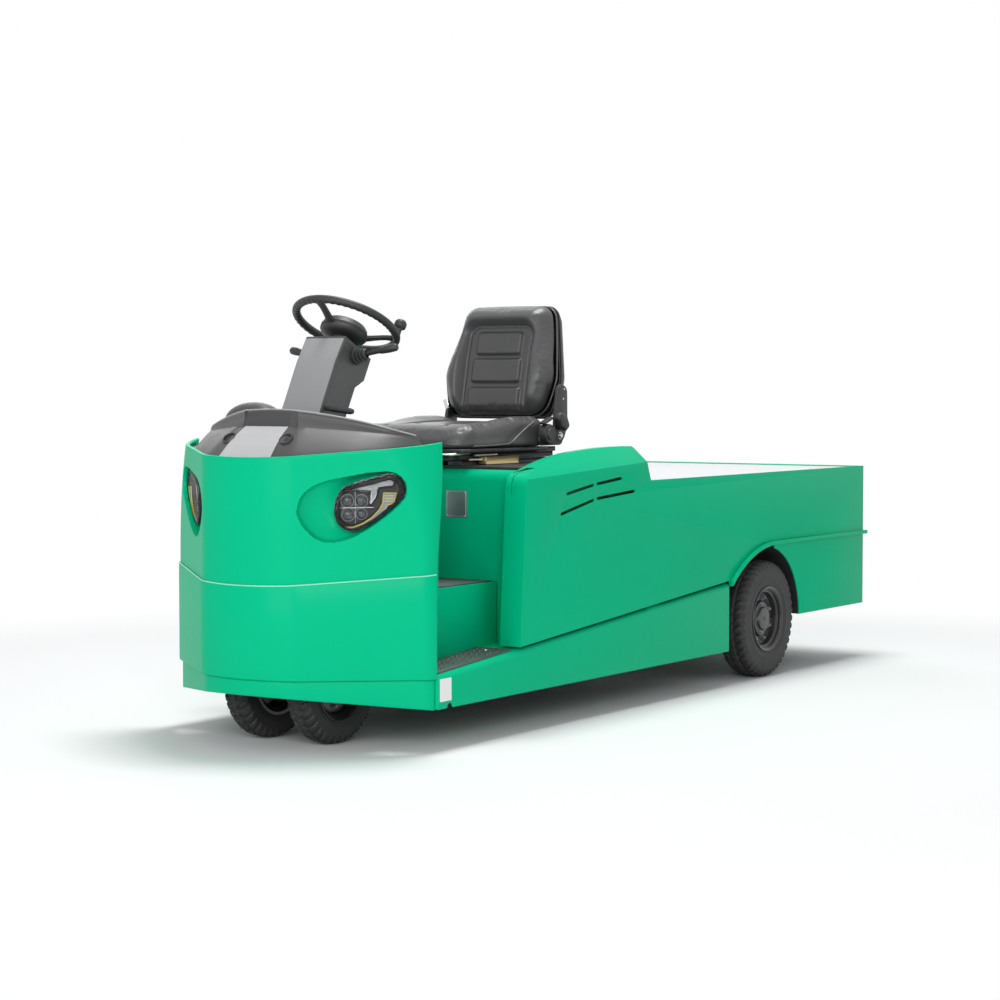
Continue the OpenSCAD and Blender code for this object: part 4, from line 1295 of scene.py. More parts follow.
def makeSteeringWheel():
    radius, thick, high = steering["rimRadius"], steering["rimThick"], steering["height"]
    rim = addPrimitive("torus", "steeringRim", major_radius=radius, minor_radius=thick, major_segments=192,
                       minor_segments=20, location=(0, 0, high))

    def ridge(p):
        # finger ridges on the underside
        turn = math.atan2(p.y, p.x)
        out = Vector((math.cos(turn), math.sin(turn), 0))
        centre = out * radius + Vector((0, 0, high))
        ray = p - centre
        low = ease(-ray.z / thick * 1.3)
        wave = 0.5 + 0.5 * math.cos(turn * steering["ridges"])
        return centre + ray * (1 - 0.13 * low * wave)

    movePoints(rim, ridge)
    parts = [rim]
    for turn in steering["spokeTurns"]:
        spoke = dicedCube("steeringSpoke", 9)

        def bend(p):
            t = p.x + 0.5
            wide = 0.036 - 0.014 * ease(t * 1.6) + 0.006 * ease((t - 0.75) * 4)
            return Vector((0.035 + t * (radius - 0.040), p.y * wide,
                           0.046 + 0.031 * ease(t) + p.z * (0.014 - 0.003 * t) * (1 - 1.2 * p.y * p.y)))

        movePoints(spoke, bend)
        roundEdges(spoke, 0.002, 2, 50)
        parts.append(placed(spoke, Matrix.Rotation(math.radians(turn), 4, "Z")))
    wheel = joined("steeringWheel", parts)
    smooth(wheel, 45)
    placed(wheel, columnPlace)
    finished(wheel, "blackPlastic", "steering_wheel", ["steering_wheel"])
    hub = spun("steeringHub", steering["hub"], 48, (0, 0, 1))
    smooth(hub, 45)
    finished(placed(hub, columnPlace), "blackPlastic", "steering_wheel")
    knob = spun("spinnerKnob", steering["knob"], 32, (0, 0, 1))
    smooth(knob, 50)
    turn = math.radians(steering["spokeTurns"][0])
    onRim = Matrix.Rotation(turn, 4, "Z") @ Matrix.Translation((radius, 0, high))
    finished(placed(knob, columnPlace @ onRim), "blackPlastic", "steering_wheel")


makeColumnCover()
makeLevers()
makeSteeringWheel()
print("column and steering wheel made")


# Seat: padded cushion and backrest, shell, recliner arms, belt retractor, buckle and rails

seatBack = {
    "place": (1.352, 0.962, 12.0),  # s and height of the foot, lean in degrees
    # across, up the back, radius of the corner
    "outline": [(-0.182, 0.002, 0.070), (0.182, 0.002, 0.070), (0.217, 0.130, 0.110), (0.164, 0.380, 0.052),
                (-0.164, 0.380, 0.052), (-0.217, 0.130, 0.110)],
    "depth": (-0.022, 0.022),
    "voxel": 0.005,
    "frameHigh": 0.027,   # how far the bolsters stand out of the middle field
    "frameRun": 0.034,
    "field": (0.0, 0.120, 0.121, 0.1785, 0.034),  # middle, half sizes and radius
    "panels": [(0.0, 0.2415, 0.0935, 0.0430, 0.016), (0.0, 0.1480, 0.1010, 0.0445, 0.016),
               (0.0, 0.0480, 0.1070, 0.0460, 0.016)],
    "panelHigh": 0.0120,
    "panelRun": 0.011,
    "sewnFrom": (0.006, 0.012),  # depth where the sewn front begins, and over how much
    "edgeRun": 0.06,             # distance from the outline at which the bolsters are full
    "crease": (0.004, 0.004, 0.006),  # depth of the seam round the field, place outside it, width
    "cap": 0.008,                # most that the stuffing moves a point
    "piping": (0.026, 1.012, 0.0034),  # depth, share of the outline's width, radius
    # how much the sides come forward, per metre across squared, below which height and over how much
    "wrap": (0.45, 0.30, 0.12),
}
seatPad = {
    # across, s, radius
    "outline": [(-0.228, 0.815, 0.085), (0.228, 0.815, 0.085), (0.233, 1.318, 0.050), (-0.233, 1.318, 0.050)],
    "height": (0.866, 0.926),
    "voxel": 0.0055,
    "cap": 0.010,
    "held": 0.03,                # height over which the stuffing takes hold
    "rise": (0.012, 0.018),      # heights at the foot that stay, and that are left out of the run
    # a start and a run along s or across
    "sideEdge": (0.105, 0.09),
    "rearEdge": (0.94, 0.22),
    "frontEdge": (0.90, 0.09),
    "lift": (0.006, 0.022, 0.004, 0.028),  # everywhere, bolsters, rear middle, fall at the front
    "hollow": (0.012, 0.14, (0.9, 0.1), (1.15, 0.12)),  # depth, half width, where it starts and ends
    "seamWide": 0.006,
    "sideSeam": (0.007, 0.118, (0.86, 0.04)),   # depth, distance across, where it starts
    "crossSeam": (0.006, 1.03, (0.10, 0.015)),  # depth, s, where it ends across
    "pipingX": 0.2395,
    # s and height along each side
    "piping": [(0.86, 0.874), (1.02, 0.876), (1.07, 0.880), (1.12, 0.905), (1.17, 0.930), (1.21, 0.948)],
}
backPlace = Matrix.Translation(alongBody(0, *seatBack["place"][:2])) @ \
    Matrix.Rotation(math.radians(-seatBack["place"][2]), 4, "X")


def wrapAt(x, h):
    amount, below, over = seatBack["wrap"]
    return amount * x * x * ease((below - h) / over)


def roundedDistance(x, y, box):
    # distance inside a rounded rectangle, negative outside
    cx, cy, hx, hy, r = box
    a, b = abs(x - cx) - hx + r, abs(y - cy) - hy + r
    return r - math.hypot(max(a, 0), max(b, 0)) - min(max(a, b), 0)


def padBlank(name, outline, low, high):
    # the outline as a closed block along Z
    blank = slab(name, [(p.x, p.y, low) for p in roundedOutline(outline, 10)], (0, 0, high - low))
    roundEdges(blank, (high - low) * 0.36, 4, 40)
    return blank


stuffing = {
    "pressure": 4.0,
    "quality": 4,
    "frames": 20,
}


def stuffed(blank, voxel, cap, held):
    # swell a closed block like a stuffed cover; held(p) is the share by which a point may move
    modify(blank, "REMESH", mode="VOXEL", voxel_size=voxel)
    before = [p.co.copy() for p in blank.data.vertices]
    makeActive(blank)
    cloth = blank.modifiers.new("stuffing", "CLOTH")
    cloth.settings.use_pressure = True
    cloth.settings.uniform_pressure_force = stuffing["pressure"]
    cloth.settings.effector_weights.gravity = 0.0
    cloth.settings.quality = stuffing["quality"]
    scene = bpy.context.scene
    for step in range(1, stuffing["frames"] + 1):
        scene.frame_set(step)
    swollen = blank.evaluated_get(bpy.context.evaluated_depsgraph_get()).to_mesh()
    after = [p.co.copy() for p in swollen.vertices]
    scene.frame_set(1)
    blank.modifiers.remove(cloth)
    for point, old, new in zip(blank.data.vertices, before, after):
        move = new - old
        if move.length > cap:
            move = move.normalized() * cap
        point.co = old + move * held(old)
    blank.data.update()


def makeSeatBack():
    low, high = seatBack["depth"]
    back = padBlank("seatBack", seatBack["outline"], low, high)
    stuffed(back, seatBack["voxel"], seatBack["cap"], lambda p: ease((high - p.z) / (high - low)))
    modify(back, "SUBSURF", levels=1, render_levels=1)
    outline = roundedOutline(seatBack["outline"], 12)
    begin, over = seatBack["sewnFrom"]
    creaseDeep, creaseOut, creaseWide = seatBack["crease"]

    def sew(p):
        # p holds across, up, depth with the front at negative depth
        x, h, d = p
        front = ease((begin - d) / over)
        if front > 0:
            field = roundedDistance(x, h, seatBack["field"])
            edge = max(insideDistance(Vector((x, h)), outline), 0.0) if field < 0 else 1.0
            lift = seatBack["frameHigh"] * ease(-field / seatBack["frameRun"])
            lift *= ease(edge / seatBack["edgeRun"])
            for panel in seatBack["panels"]:
                lift += seatBack["panelHigh"] * ease(roundedDistance(x, h, panel) / seatBack["panelRun"])
            crease = creaseDeep * math.exp(-((field + creaseOut) / creaseWide) ** 2)
            d -= front * (lift - crease)
        return Vector((x, d - wrapAt(x, h), h))

    movePoints(back, sew)
    cleanMesh(back)
    smooth(back, 80)
    placed(back, backPlace)
    finished(back, "vinyl", replaces=["seat_backrest"])
    depth, grow, radius = seatBack["piping"]
    rim = roundedOutline([(x * grow, h, r) for x, h, r in seatBack["outline"]], 12)
    rim = [Vector((p.x, depth - wrapAt(p.x, p.y), p.y)) for p in rim]
    piping = rod("seatBackPiping", rim, radius, closed=True)
    finished(placed(piping, backPlace), "piping")


def makeSeatPad():
    low, high = seatPad["height"]
    pad = padBlank("seatPad", seatPad["outline"], low, high)
    stuffed(pad, seatPad["voxel"], seatPad["cap"], lambda p: ease((p.z - low) / seatPad["held"]))
    modify(pad, "SUBSURF", levels=1, render_levels=1)

    base, bolster, rearLift, fall = seatPad["lift"]
    hollowDeep, hollowHalf, hollowStart, hollowEnd = seatPad["hollow"]
    sideDeep, sideX, sideStart = seatPad["sideSeam"]
    crossDeep, crossS, crossEnd = seatPad["crossSeam"]
    still, left = seatPad["rise"]

    def past(value, edge):
        return ease((value - edge[0]) / edge[1])

    def seam(distance):
        return math.exp(-(distance / seatPad["seamWide"]) ** 2)

    def shape(p):
        # bolsters along the sides that rise to the rear, a soft fall at the front
        x, s, z = p
        out = abs(x)
        up = ease((z - low - still) / (high - low - left))
        side = past(out, seatPad["sideEdge"])
        rear = past(s, seatPad["rearEdge"])
        hollow = hollowDeep * (1 - ease(out / hollowHalf)) * past(s, hollowStart) * (1 - past(s, hollowEnd))
        front = ease((seatPad["frontEdge"][0] - s) / seatPad["frontEdge"][1])
        lift = base + bolster * side * rear + rearLift * rear * (1 - side) - fall * front - hollow
        channel = sideDeep * seam(out - sideX) * past(s, sideStart)
        channel += crossDeep * seam(s - crossS) * (1 - past(out, crossEnd))
        return Vector((x, noseY + s, z + up * (lift - channel)))

    movePoints(pad, shape)
    cleanMesh(pad)
    smooth(pad, 80)
    finished(pad, "vinyl", replaces=["seat_cushion"])
    lines = []
    for side in (-1, 1):
        path = [alongBody(side * seatPad["pipingX"], s, z) for s, z in seatPad["piping"]]
        lines.append(rod("padPiping", path, 0.0034))
    finished(joined("seatPadPiping", lines), "piping")


seatShell = {
    "outline": [(-0.205, 0.0, 0.040), (0.205, 0.0, 0.040), (0.232, 0.130, 0.100), (0.168, 0.381, 0.050),
                (-0.168, 0.381, 0.050), (-0.232, 0.130, 0.100)],
    "front": 0.029,
    "depth": 0.060,
    "taper": 0.16,       # share by which the outline shrinks on its way to the rear
    "middle": 0.180,
    "ridges": ((0.00904, 1.004), (0.0141, 0.985)),  # depth behind the front, share of the outline
    # share of the outline, rise of the raised field on the rear
    "field": [(0.72, 0.0006), (0.70, 0.0036), (0.50, 0.0050), (0.25, 0.0056)],
}


def makeSeatShell():
    # dished plastic back: the outline shrinks rearwards in rounded steps, then a raised middle field
    outline = roundedOutline(seatShell["outline"], 7)
    outline.append(outline[0])
    steps = [(1 - math.cos(math.radians(15 * i)), math.sin(math.radians(15 * i))) for i in range(7)]
    steps = [(1 - seatShell["taper"] * share, seatShell["depth"] * rise) for share, rise in steps]
    steps += [(scale, seatShell["depth"] + rise) for scale, rise in seatShell["field"]]
    middle = seatShell["middle"]
    rows = []
    for scale, depth in steps:
        y = seatShell["front"] + depth
        rows.append([Vector((p.x * scale, y, middle + (p.y - middle) * scale)) for p in outline])
    shell = skinned("seatShell", rows, closeTop=True)
    cleanMesh(shell)
    movePoints(shell, lambda p: Vector((p.x, p.y - wrapAt(p.x, p.z), p.z)))
    modify(shell, "SOLIDIFY", thickness=0.003, offset=-1.0)
    smooth(shell, 30)
    placed(shell, backPlace)
    finished(shell, "blackPlastic", replaces=["seat_shell"])
    ridges = []
    for depth, grow in seatShell["ridges"]:
        path = roundedOutline([(x * grow, h * grow, r) for x, h, r in seatShell["outline"]], 12)
        path = [Vector((p.x, seatShell["front"] + depth - wrapAt(p.x, p.y), p.y)) for p in path]
        ridges.append(rod("shellRidge", path, 0.003, closed=True))
    line = joined("seatShellRidges", ridges)
    finished(placed(line, backPlace), "blackPlastic")


recliner = {
    "x": 0.238,
    "thick": 0.012,
    # s, height, radius round the arm
    "arm": [(1.318, 0.880, 0.020), (1.372, 0.876, 0.034), (1.400, 0.930, 0.060), (1.398, 1.060, 0.026),
            (1.342, 1.074, 0.026), (1.326, 0.985, 0.040)],
    # the far one stands further in, under the backrest
    "farX": 0.193,
    "farArm": [(1.318, 0.880, 0.020), (1.372, 0.876, 0.034), (1.398, 0.905, 0.020), (1.392, 0.990, 0.020),
               (1.340, 0.990, 0.020)],
    "base": [(1.226, 0.868, 0.020), (1.372, 0.868, 0.020), (1.372, 0.908, 0.016), (1.300, 0.935, 0.030),
             (1.232, 0.925, 0.030)],
    "pivot": (1.352, 0.899),
    # place, radius, height
    "bolts": [((1.377, 1.052), 0.0036, 0.0030), ((1.371, 1.020), 0.0036, 0.0030),
              ((1.352, 0.899), 0.0095, 0.008)],
}


def platePiece(name, corners, x0, thick, edge=0.003):
    # a plate across X from an outline of s and height
    plate = slab(name, [alongBody(x0, p.x, p.y) for p in roundedOutline(corners, 9)], (thick, 0, 0))
    roundEdges(plate, edge, 3, 50)
    smooth(plate, 40)
    return plate


boltShape = {
    # shares of the radius and of the height: a domed head on a round flange
    "profile": [(0.0, 1), (0.72, 1), (0.95, 0.8), (1, 0.6), (1, 0.25), (1.3, 0.2), (1.3, 0.0)],
    "steps": 24,
}


def boltHead(name, place, axis, radius, high):
    profile = [(radius * wide, high * rise) for wide, rise in boltShape["profile"]]
    return placed(spun(name, profile, boltShape["steps"], axis), Matrix.Translation(place))


def makeRecliner():
    x = recliner["x"]
    arms = []
    for side in (-1, 1):
        inner = ("arm", x) if side > 0 else ("farArm", recliner["farX"])
        for name, across in (inner, ("base", x - 0.001)):
            arm = platePiece("reclinerArm", recliner[name], across, recliner["thick"])
            if side < 0:
                placed(arm, mirrorX)
                arm.data.flip_normals()
            arms.append(arm)
    tube = [alongBody(across, *recliner["pivot"]) for across in (-x - 0.004, -recliner["farX"])]
    arms.append(rod("reclinerTube", tube, 0.011, curved=False))
    grouped("reclinerArms", arms, 40, "blackPlastic", ["seat_brackets"])
    out = x + recliner["thick"] - 0.001
    bolts = [boltHead("reclinerBolt", alongBody(out, s, z), (1, 0, 0), radius, high)
             for (s, z), radius, high in recliner["bolts"]]
    grouped("reclinerBolts", bolts, 35, "steel")


belt = {
    "drum": (0.240, 1.262, 0.905, 0.034, 0.034),  # x, s, height, radius, width
    # share of the radius, fall from the drum's outer side
    "drumFace": [(0.0, 0.0), (0.55, 0.0), (0.6, 0.003), (0.86, 0.003), (0.96, 0.006), (1, 0.012)],
    "cover": [(1.300, 0.958, 0.016), (1.318, 0.978, 0.016), (1.352, 0.968, 0.018), (1.372, 0.930, 0.014),
              (1.350, 0.914, 0.010), (1.318, 0.926, 0.012)],
    # s and height from the drum's middle, radius
    "slot": [(-0.030, 0.030, 0.004), (0.026, 0.050, 0.004), (0.030, 0.060, 0.004), (-0.026, 0.040, 0.004)],
    "foot": (-0.201, 1.388, 0.912),   # ends of the stalk that carries the buckle
    "head": (-0.244, 1.425, 0.966),
    "stalk": (0.040, 0.004, 0.010),   # width, thickness, sag
    "buckle": (0.062, 0.040, 0.018),
    "tongue": (0.012, 0.030, 0.012),
    "along": (0.026, 0.060),          # middles of buckle and tongue beyond the stalk's head
}


def makeBelt():
    x, s, z, r, wide = belt["drum"]
    profile = [(r * share, wide - fall) for share, fall in belt["drumFace"]] + [(r, 0.004), (r * 0.9, 0.0)]
    drum = spun("beltDrum", profile, 40)
    placed(drum, Matrix.Translation(alongBody(x, s, z)))
    cover = platePiece("beltCover", belt["cover"], x + 0.010, 0.030, 0.008)
    corners = [(s + ds, z + dz, radius) for ds, dz, radius in belt["slot"]]
    slot = platePiece("beltSlot", corners, x + 0.004, 0.022, 0.002)
    grouped("beltRetractor", [drum, cover, slot], 35, "blackPlastic")


def makeBuckle():
    # at the far side, on its stalk
    strap = dicedCube("buckleStrap", 7)
    foot, head = alongBody(*belt["foot"]), alongBody(*belt["head"])
    strapWide, strapThick, strapSag = belt["stalk"]
    run = (head - foot).normalized()
    across = Vector((1, 0, 0))
    up = run.cross(across)

    def lay(p):
        t = p.x + 0.5
        sag = strapSag * math.sin(math.pi * t)
        return foot.lerp(head, t) + up * (p.y * strapWide - sag) + across * (p.z * strapThick)

    movePoints(strap, lay)
    smooth(strap, 40)
    finished(strap, "blackPlastic")
    buckle = block("beltBuckle", belt["buckle"])
    insetFaces(buckle, lambda n: abs(n.z) > 0.9, (0.006, 0.0), (0.002, -0.003))
    roundEdges(buckle, 0.004, 3, 40)
    tongue = block("buckleTongue", belt["tongue"])
    roundEdges(tongue, 0.003, 2, 40)
    turn = Matrix((run, up, across)).transposed().to_4x4()
    for piece, along in zip((buckle, tongue), belt["along"]):
        smooth(piece, 40)
        placed(piece, Matrix.Translation(head + run * along) @ turn)
        finished(piece, "steel")


rails = {
    "x": 0.160,
    "s": (0.868, 1.418),
    "steps": [(0.812, 0.826, 0.052), (0.828, 0.846, 0.040), (0.846, 0.862, 0.060)],  # low, high, width
    # sizes and middle
    "pan": ((0.448, 0.50, 0.014), (0, 1.07, 0.858)),
    "latch": ((0.030, 0.190, 0.024), (0.205, 1.055, 0.826)),
    "strips": ((0.93, 1.06, 0.843), (0.90, 1.02, 0.829)),  # from s, to s, height
    "stripX": 0.192,
    "stripSize": (0.010, 0.007),
    "lever": [(0.196, 0.905, 0.852), (0.205, 0.84, 0.850), (0.18, 0.805, 0.848), (0.10, 0.800, 0.848)],
}


def makeRails():
    size, middle = rails["pan"]
    parts = [block("seatPan", size, alongBody(*middle))]
    roundEdges(parts[0], 0.005, 3, 40)
    s0, s1 = rails["s"]
    for side in (-1, 1):
        for low, high, wide in rails["steps"]:
            middle = alongBody(side * rails["x"], (s0 + s1) / 2, (low + high) / 2)
            bar = block("seatRail", (wide, s1 - s0, high - low), middle)
            insetFaces(bar, lambda n: abs(n.x) > 0.9, (0.0035, -0.003))
            roundEdges(bar, 0.0016, 2, 40)
            parts.append(bar)
    grouped("seatRails", parts, 35, "frame", ["seat_rails"])
    # zinc runners with the slide lever, and the yellow latch box
    bright = []
    wide, high = rails["stripSize"]
    for s0, s1, z in rails["strips"]:
        strip = block("railStrip", (wide, s1 - s0, high), alongBody(rails["stripX"], (s0 + s1) / 2, z))
        roundEdges(strip, 0.002, 2, 40)
        bright.append(strip)
    bright.append(rod("slideLever", [alongBody(*p) for p in rails["lever"]], 0.0045))
    grouped("railStrips", bright, 40, "steel")
    size, middle = rails["latch"]
    latch = block("railLatch", size, alongBody(*middle))
    insetFaces(latch, lambda n: n.x > 0.9, (0.004, -0.003))
    roundEdges(latch, 0.002, 2, 40)
    smooth(latch, 35)
    finished(latch, "brass")


makeSeatPad()
makeSeatBack()
makeSeatShell()
makeRecliner()
makeBelt()
makeBuckle()
makeRails()
print("seat made")


# Wheels: block-tread tyres on black rims with their nuts

rearWheel = {
    "middle": (0.427, 2.417, 0.2135),
    # half of the tyre's section from the bead to the tread's middle: radius, distance from the middle
    "section": [(0.1085, 0.0440), (0.1120, 0.0462), (0.1160, 0.0474), (0.1185, 0.0468), (0.1215, 0.0482),
                (0.1300, 0.0502), (0.1400, 0.0516), (0.1415, 0.0522), (0.1430, 0.0524), (0.1446, 0.0520),
                (0.1600, 0.0524), (0.1740, 0.0522), (0.1800, 0.0518), (0.1840, 0.0520), (0.1880, 0.0522),
                (0.1920, 0.0516), (0.1960, 0.0505), (0.2000, 0.0488), (0.2040, 0.0462), (0.2070, 0.0430),
                (0.2090, 0.0390), (0.2103, 0.0345), (0.2112, 0.0300), (0.2118, 0.0250), (0.2123, 0.0200),
                (0.2128, 0.0150), (0.2132, 0.0100), (0.2134, 0.0050)],
    "lugs": 42,
    "grooveFrom": 0.1830,  # radius where the side of a lug begins
    "groove": 0.0075,
    "steps": 336,
    # the rim's section from the hub's rear to the cap: radius, distance from the middle
    "rim": [(0.0225, -0.0600), (0.0600, -0.0600), (0.0600, 0.0030), (0.0900, 0.0030), (0.0930, -0.0380),
            (0.1040, -0.0440), (0.1080, -0.0490), (0.1170, -0.0500), (0.1190, -0.0480), (0.1170, -0.0465),
            (0.1060, -0.0440), (0.1060, 0.0440), (0.1170, 0.0470), (0.1192, 0.0490), (0.1185, 0.0512),
            (0.1160, 0.0518), (0.1115, 0.0500), (0.1085, 0.0470), (0.1072, 0.0420), (0.1062, 0.0375),
            (0.1042, 0.0352), (0.1005, 0.0346), (0.0978, 0.0330), (0.0968, 0.0290), (0.0962, 0.0180),
            (0.0945, 0.0135), (0.0900, 0.0115), (0.0690, 0.0110), (0.0655, 0.0120), (0.0640, 0.0150),
            (0.0630, 0.0225), (0.0615, 0.0255), (0.0580, 0.0268), (0.0440, 0.0272), (0.0428, 0.0285),
            (0.0420, 0.0330), (0.0400, 0.0356), (0.0360, 0.0364), (0.0120, 0.0368), (0.0060, 0.0369),
            (0.0050, 0.0388), (0.0, 0.0390)],
    "nuts": (8, 0.0800, 0.0105, 0.0078),  # count, ring radius, foot, size
    "bolts": (5, 0.0515, 0.0265, 0.0056),
    "valve": (0.0885, 0.0100),
}
frontWheel = {
    "middle": (0.118, 0.285, 0.180),
    "section": [(0.1015, 0.0345), (0.1050, 0.0366), (0.1085, 0.0376), (0.1110, 0.0370), (0.1135, 0.0384),
                (0.1200, 0.0402), (0.1270, 0.0416), (0.1282, 0.0422), (0.1296, 0.0424), (0.1310, 0.0420),
                (0.1400, 0.0424), (0.1470, 0.0422), (0.1510, 0.0418), (0.1540, 0.0420), (0.1570, 0.0420),
                (0.1600, 0.0414), (0.1635, 0.0402), (0.1670, 0.0386), (0.1702, 0.0364), (0.1728, 0.0336),
                (0.1746, 0.0304), (0.1760, 0.0270), (0.1770, 0.0235), (0.1778, 0.0195), (0.1785, 0.0155),
                (0.1792, 0.0115), (0.1797, 0.0075), (0.1799, 0.0035)],
    "lugs": 38,
    "grooveFrom": 0.1525,
    "groove": 0.0065,
    "steps": 304,
    "rim": [(0.0185, -0.0580), (0.0420, -0.0580), (0.0420, 0.0020), (0.0830, 0.0020), (0.0860, -0.0280),
            (0.0970, -0.0340), (0.1010, -0.0390), (0.1100, -0.0400), (0.1120, -0.0380), (0.1100, -0.0365),
            (0.0990, -0.0340), (0.0990, 0.0340), (0.1100, 0.0370), (0.1120, 0.0388), (0.1112, 0.0408),
            (0.1085, 0.0412), (0.1042, 0.0396), (0.1010, 0.0368), (0.0996, 0.0325), (0.0986, 0.0290),
            (0.0962, 0.0270), (0.0930, 0.0262), (0.0905, 0.0246), (0.0895, 0.0210), (0.0888, 0.0140),
            (0.0870, 0.0105), (0.0830, 0.0090), (0.0500, 0.0085), (0.0470, 0.0095), (0.0455, 0.0125),
            (0.0445, 0.0190), (0.0430, 0.0215), (0.0390, 0.0224), (0.0310, 0.0228), (0.0300, 0.0262),
            (0.0280, 0.0280), (0.0100, 0.0284), (0.0, 0.0285)],
    "nuts": (6, 0.0680, 0.0083, 0.0072),
    "bolts": (4, 0.0360, 0.0222, 0.0036),
    "valve": (0.0800, 0.0085),
}


def treadDepth(wheel, turn, across, radius):
    # depth of the grooves: slanted cuts over each shoulder and a waving line beside the middle
    wide = max(at for _, at in wheel["section"])
    v = across / wide
    side = math.copysign(1.0, v)
    share = abs(v)
    pitch = turn * wheel["lugs"] / math.tau + (0.25 if side > 0 else -0.25)
    swing = abs((pitch % 1.0) * 2 - 1)
    wave = 0.30 + 0.10 * (swing - 0.5)
    line = 1 - ease(abs(share - wave) / 0.085 - 0.25) if share < 0.55 else 0.0
    slant = (pitch + 0.55 * (share - 0.6)) % 1.0
    cut = 1 - ease((abs(slant - 0.5) - 0.13) / 0.10)
    cut *= ease((share - wave) / 0.06)
    middle = 1 - ease((abs(((pitch + 0.5 * v) % 1.0) - 0.5) - 0.05) / 0.09)
    middle *= 0.55 * (1 - ease((share - wave + 0.10) / 0.06))
    start = ease((radius - wheel["grooveFrom"]) / 0.010)
    return wheel["groove"] * start * max(line, cut, middle)


def makeTyre(name, wheel):
    half = wheel["section"]
    section = half + [(radius, -across) for radius, across in reversed(half)]
    tyre = spun(name, section, wheel["steps"], closed=True)

    def tread(p):
        radius = math.hypot(p.y, p.z)
        if radius < wheel["grooveFrom"]:
            return p
        depth = treadDepth(wheel, math.atan2(p.z, p.y), p.x, radius)
        inward = Vector((p.x * 0.4, p.y, p.z)).normalized()
        return p - inward * depth

    movePoints(tyre, tread)
    smooth(tyre, 26)
    return tyre


def makeRim(name, wheel):
    rim = spun(name, wheel["rim"], 72)
    smooth(rim, 28)
    return rim


nutParts = {
    # corners, then shares of the size: radius, length, place along the axis, edge
    "wheelNut": (6, 1, 1.1, 0.55, 0.14),
    "wheelStud": (16, 0.52, 0.7, 1.4, 0.12),
    "wheelWasher": (24, 1.35, 0.3, 0.15, 0.08),
}


def makeNuts(name, wheel):
    nuts = []
    for count, ring, foot, size in (wheel["nuts"], wheel["bolts"]):
        for i in range(count):
            turn = math.tau * (i + 0.5) / count
            place = Vector((foot, ring * math.cos(turn), ring * math.sin(turn)))
            for kind, (corners, wide, long, along, edge) in nutParts.items():
                middle = place + Vector((size * along, 0, 0))
                nut = addPrimitive("cylinder", kind, vertices=corners, radius=size * wide, depth=size * long,
                                   rotation=(0, math.pi / 2, 0), location=middle)
                roundEdges(nut, size * edge, 2, 40)
                nuts.append(nut)
    nuts = joined(name, nuts)
    smooth(nuts, 30)
    return nuts


def makeValve(name, wheel):
    ring, foot = wheel["valve"]
    points = [(foot, ring, 0), (foot + 0.010, ring + 0.001, 0), (foot + 0.022, ring - 0.002, 0)]
    return rod(name, points, 0.0035)


def makeWheel(kind, wheel, bodies, tyreNodes, rimNodes):
    made = [(makeTyre(kind + "Tyre", wheel), "rubber", "tyre_rubber", tyreNodes),
            (makeRim(kind + "Rim", wheel), "rim", "rim_paint", rimNodes),
            (makeNuts(kind + "Nuts", wheel), "nut", "plate_metal", ()),
            (makeValve(kind + "Valve", wheel), "rubber", "tyre_rubber", ())]
    for piece, paint, slot, stands in made:
        name = piece.name
        x, s, z = wheel["middle"]
        left = placed(piece, Matrix.Translation(alongBody(x, s, z)))
        right = copied(left, mirrorX)
        for i, one in enumerate((left, right)):
            one.name = name + ("Left", "Right")[i]
            finished(one, paint, bodies[i])
        for one, node in zip((left, right), stands):
            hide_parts(node)


makeWheel("rear", rearWheel, ("rear_wheel_left", "rear_wheel_right"),
          ("rear_tyre_left", "rear_tyre_right"), ("rear_rim_left", "rear_rim_right"))
makeWheel("front", frontWheel, ("front_wheels", "front_wheels"), ("front_tyres",), ("front_rims",))
print("wheels made")


# Body sheets: the CAD's own forms with rounded edges, and the fittings that sit on them

sheetEdges = {
    # width of the rounded edge and finish of each node
    "front_bumper": (0.0045, "green"), "front_skirt": (0.0030, "green"),
    "sill_left": (0.0022, "green"), "sill_right": (0.0022, "green"),
    "side_panel_left": (0.0026, "green"), "side_panel_right": (0.0026, "green"),
    "fender_flare_left": (0.0030, "green"), "fender_flare_right": (0.0030, "green"),
    "rear_panel": (0.0026, "green"), "seat_box": (0.0030, "green"), "floor_plate": (0.0060, "green"),
    "hood_plate": (0.0026, "frame"), "deck_plate": (0.0014, "deck"), "deck_hatch": (0.0014, "deck"),
    "kick_panel": (0.0012, "green"), "pedals": (0.0022, "blackPlastic"), "column_tube": (0.0015, "frame"),
    "floor_mat": (0.0015, "mat"), "tow_coupling": (0.0030, "cast"), "data_plate": (0.0006, "plate"),
}


def nameOf(node):
    first, *rest = node.split("_")
    return first + "".join(word.title() for word in rest) + "Sheet"


def makeSheets():
    for node, (width, paint) in sheetEdges.items():
        sheet = copyOfNode(node, nameOf(node))
        roundEdges(sheet, width, 3, 32)
        smooth(sheet, 36)
        finished(sheet, paint, replaces=[node])


makeSheets()
print("sheets made")


stepPlate = {
    "rows": 5,
    "columns": 15,
    "radius": 0.0058,
    "high": 0.0022,
    "margin": (0.016, 0.018),
    "shift": 0.125,  # by which every second row is moved, as a share of the pitch
    # shares of radius and height round a dimple
    "dimple": [(0.42, -1 / 11), (0.50, 0.9), (0.62, 1), (0.80, 0.6), (1, 0.0)],
    "bolts": [(0.12, 0.5), (0.88, 0.5)],  # shares of length and width
}


def cornersOf(node):
    # low and high corners of a node's mesh
    points = [p.co for p in frame["nodes"][node].data.vertices]
    low = Vector(min(p[i] for p in points) for i in range(3))
    high = Vector(max(p[i] for p in points) for i in range(3))
    return low, high


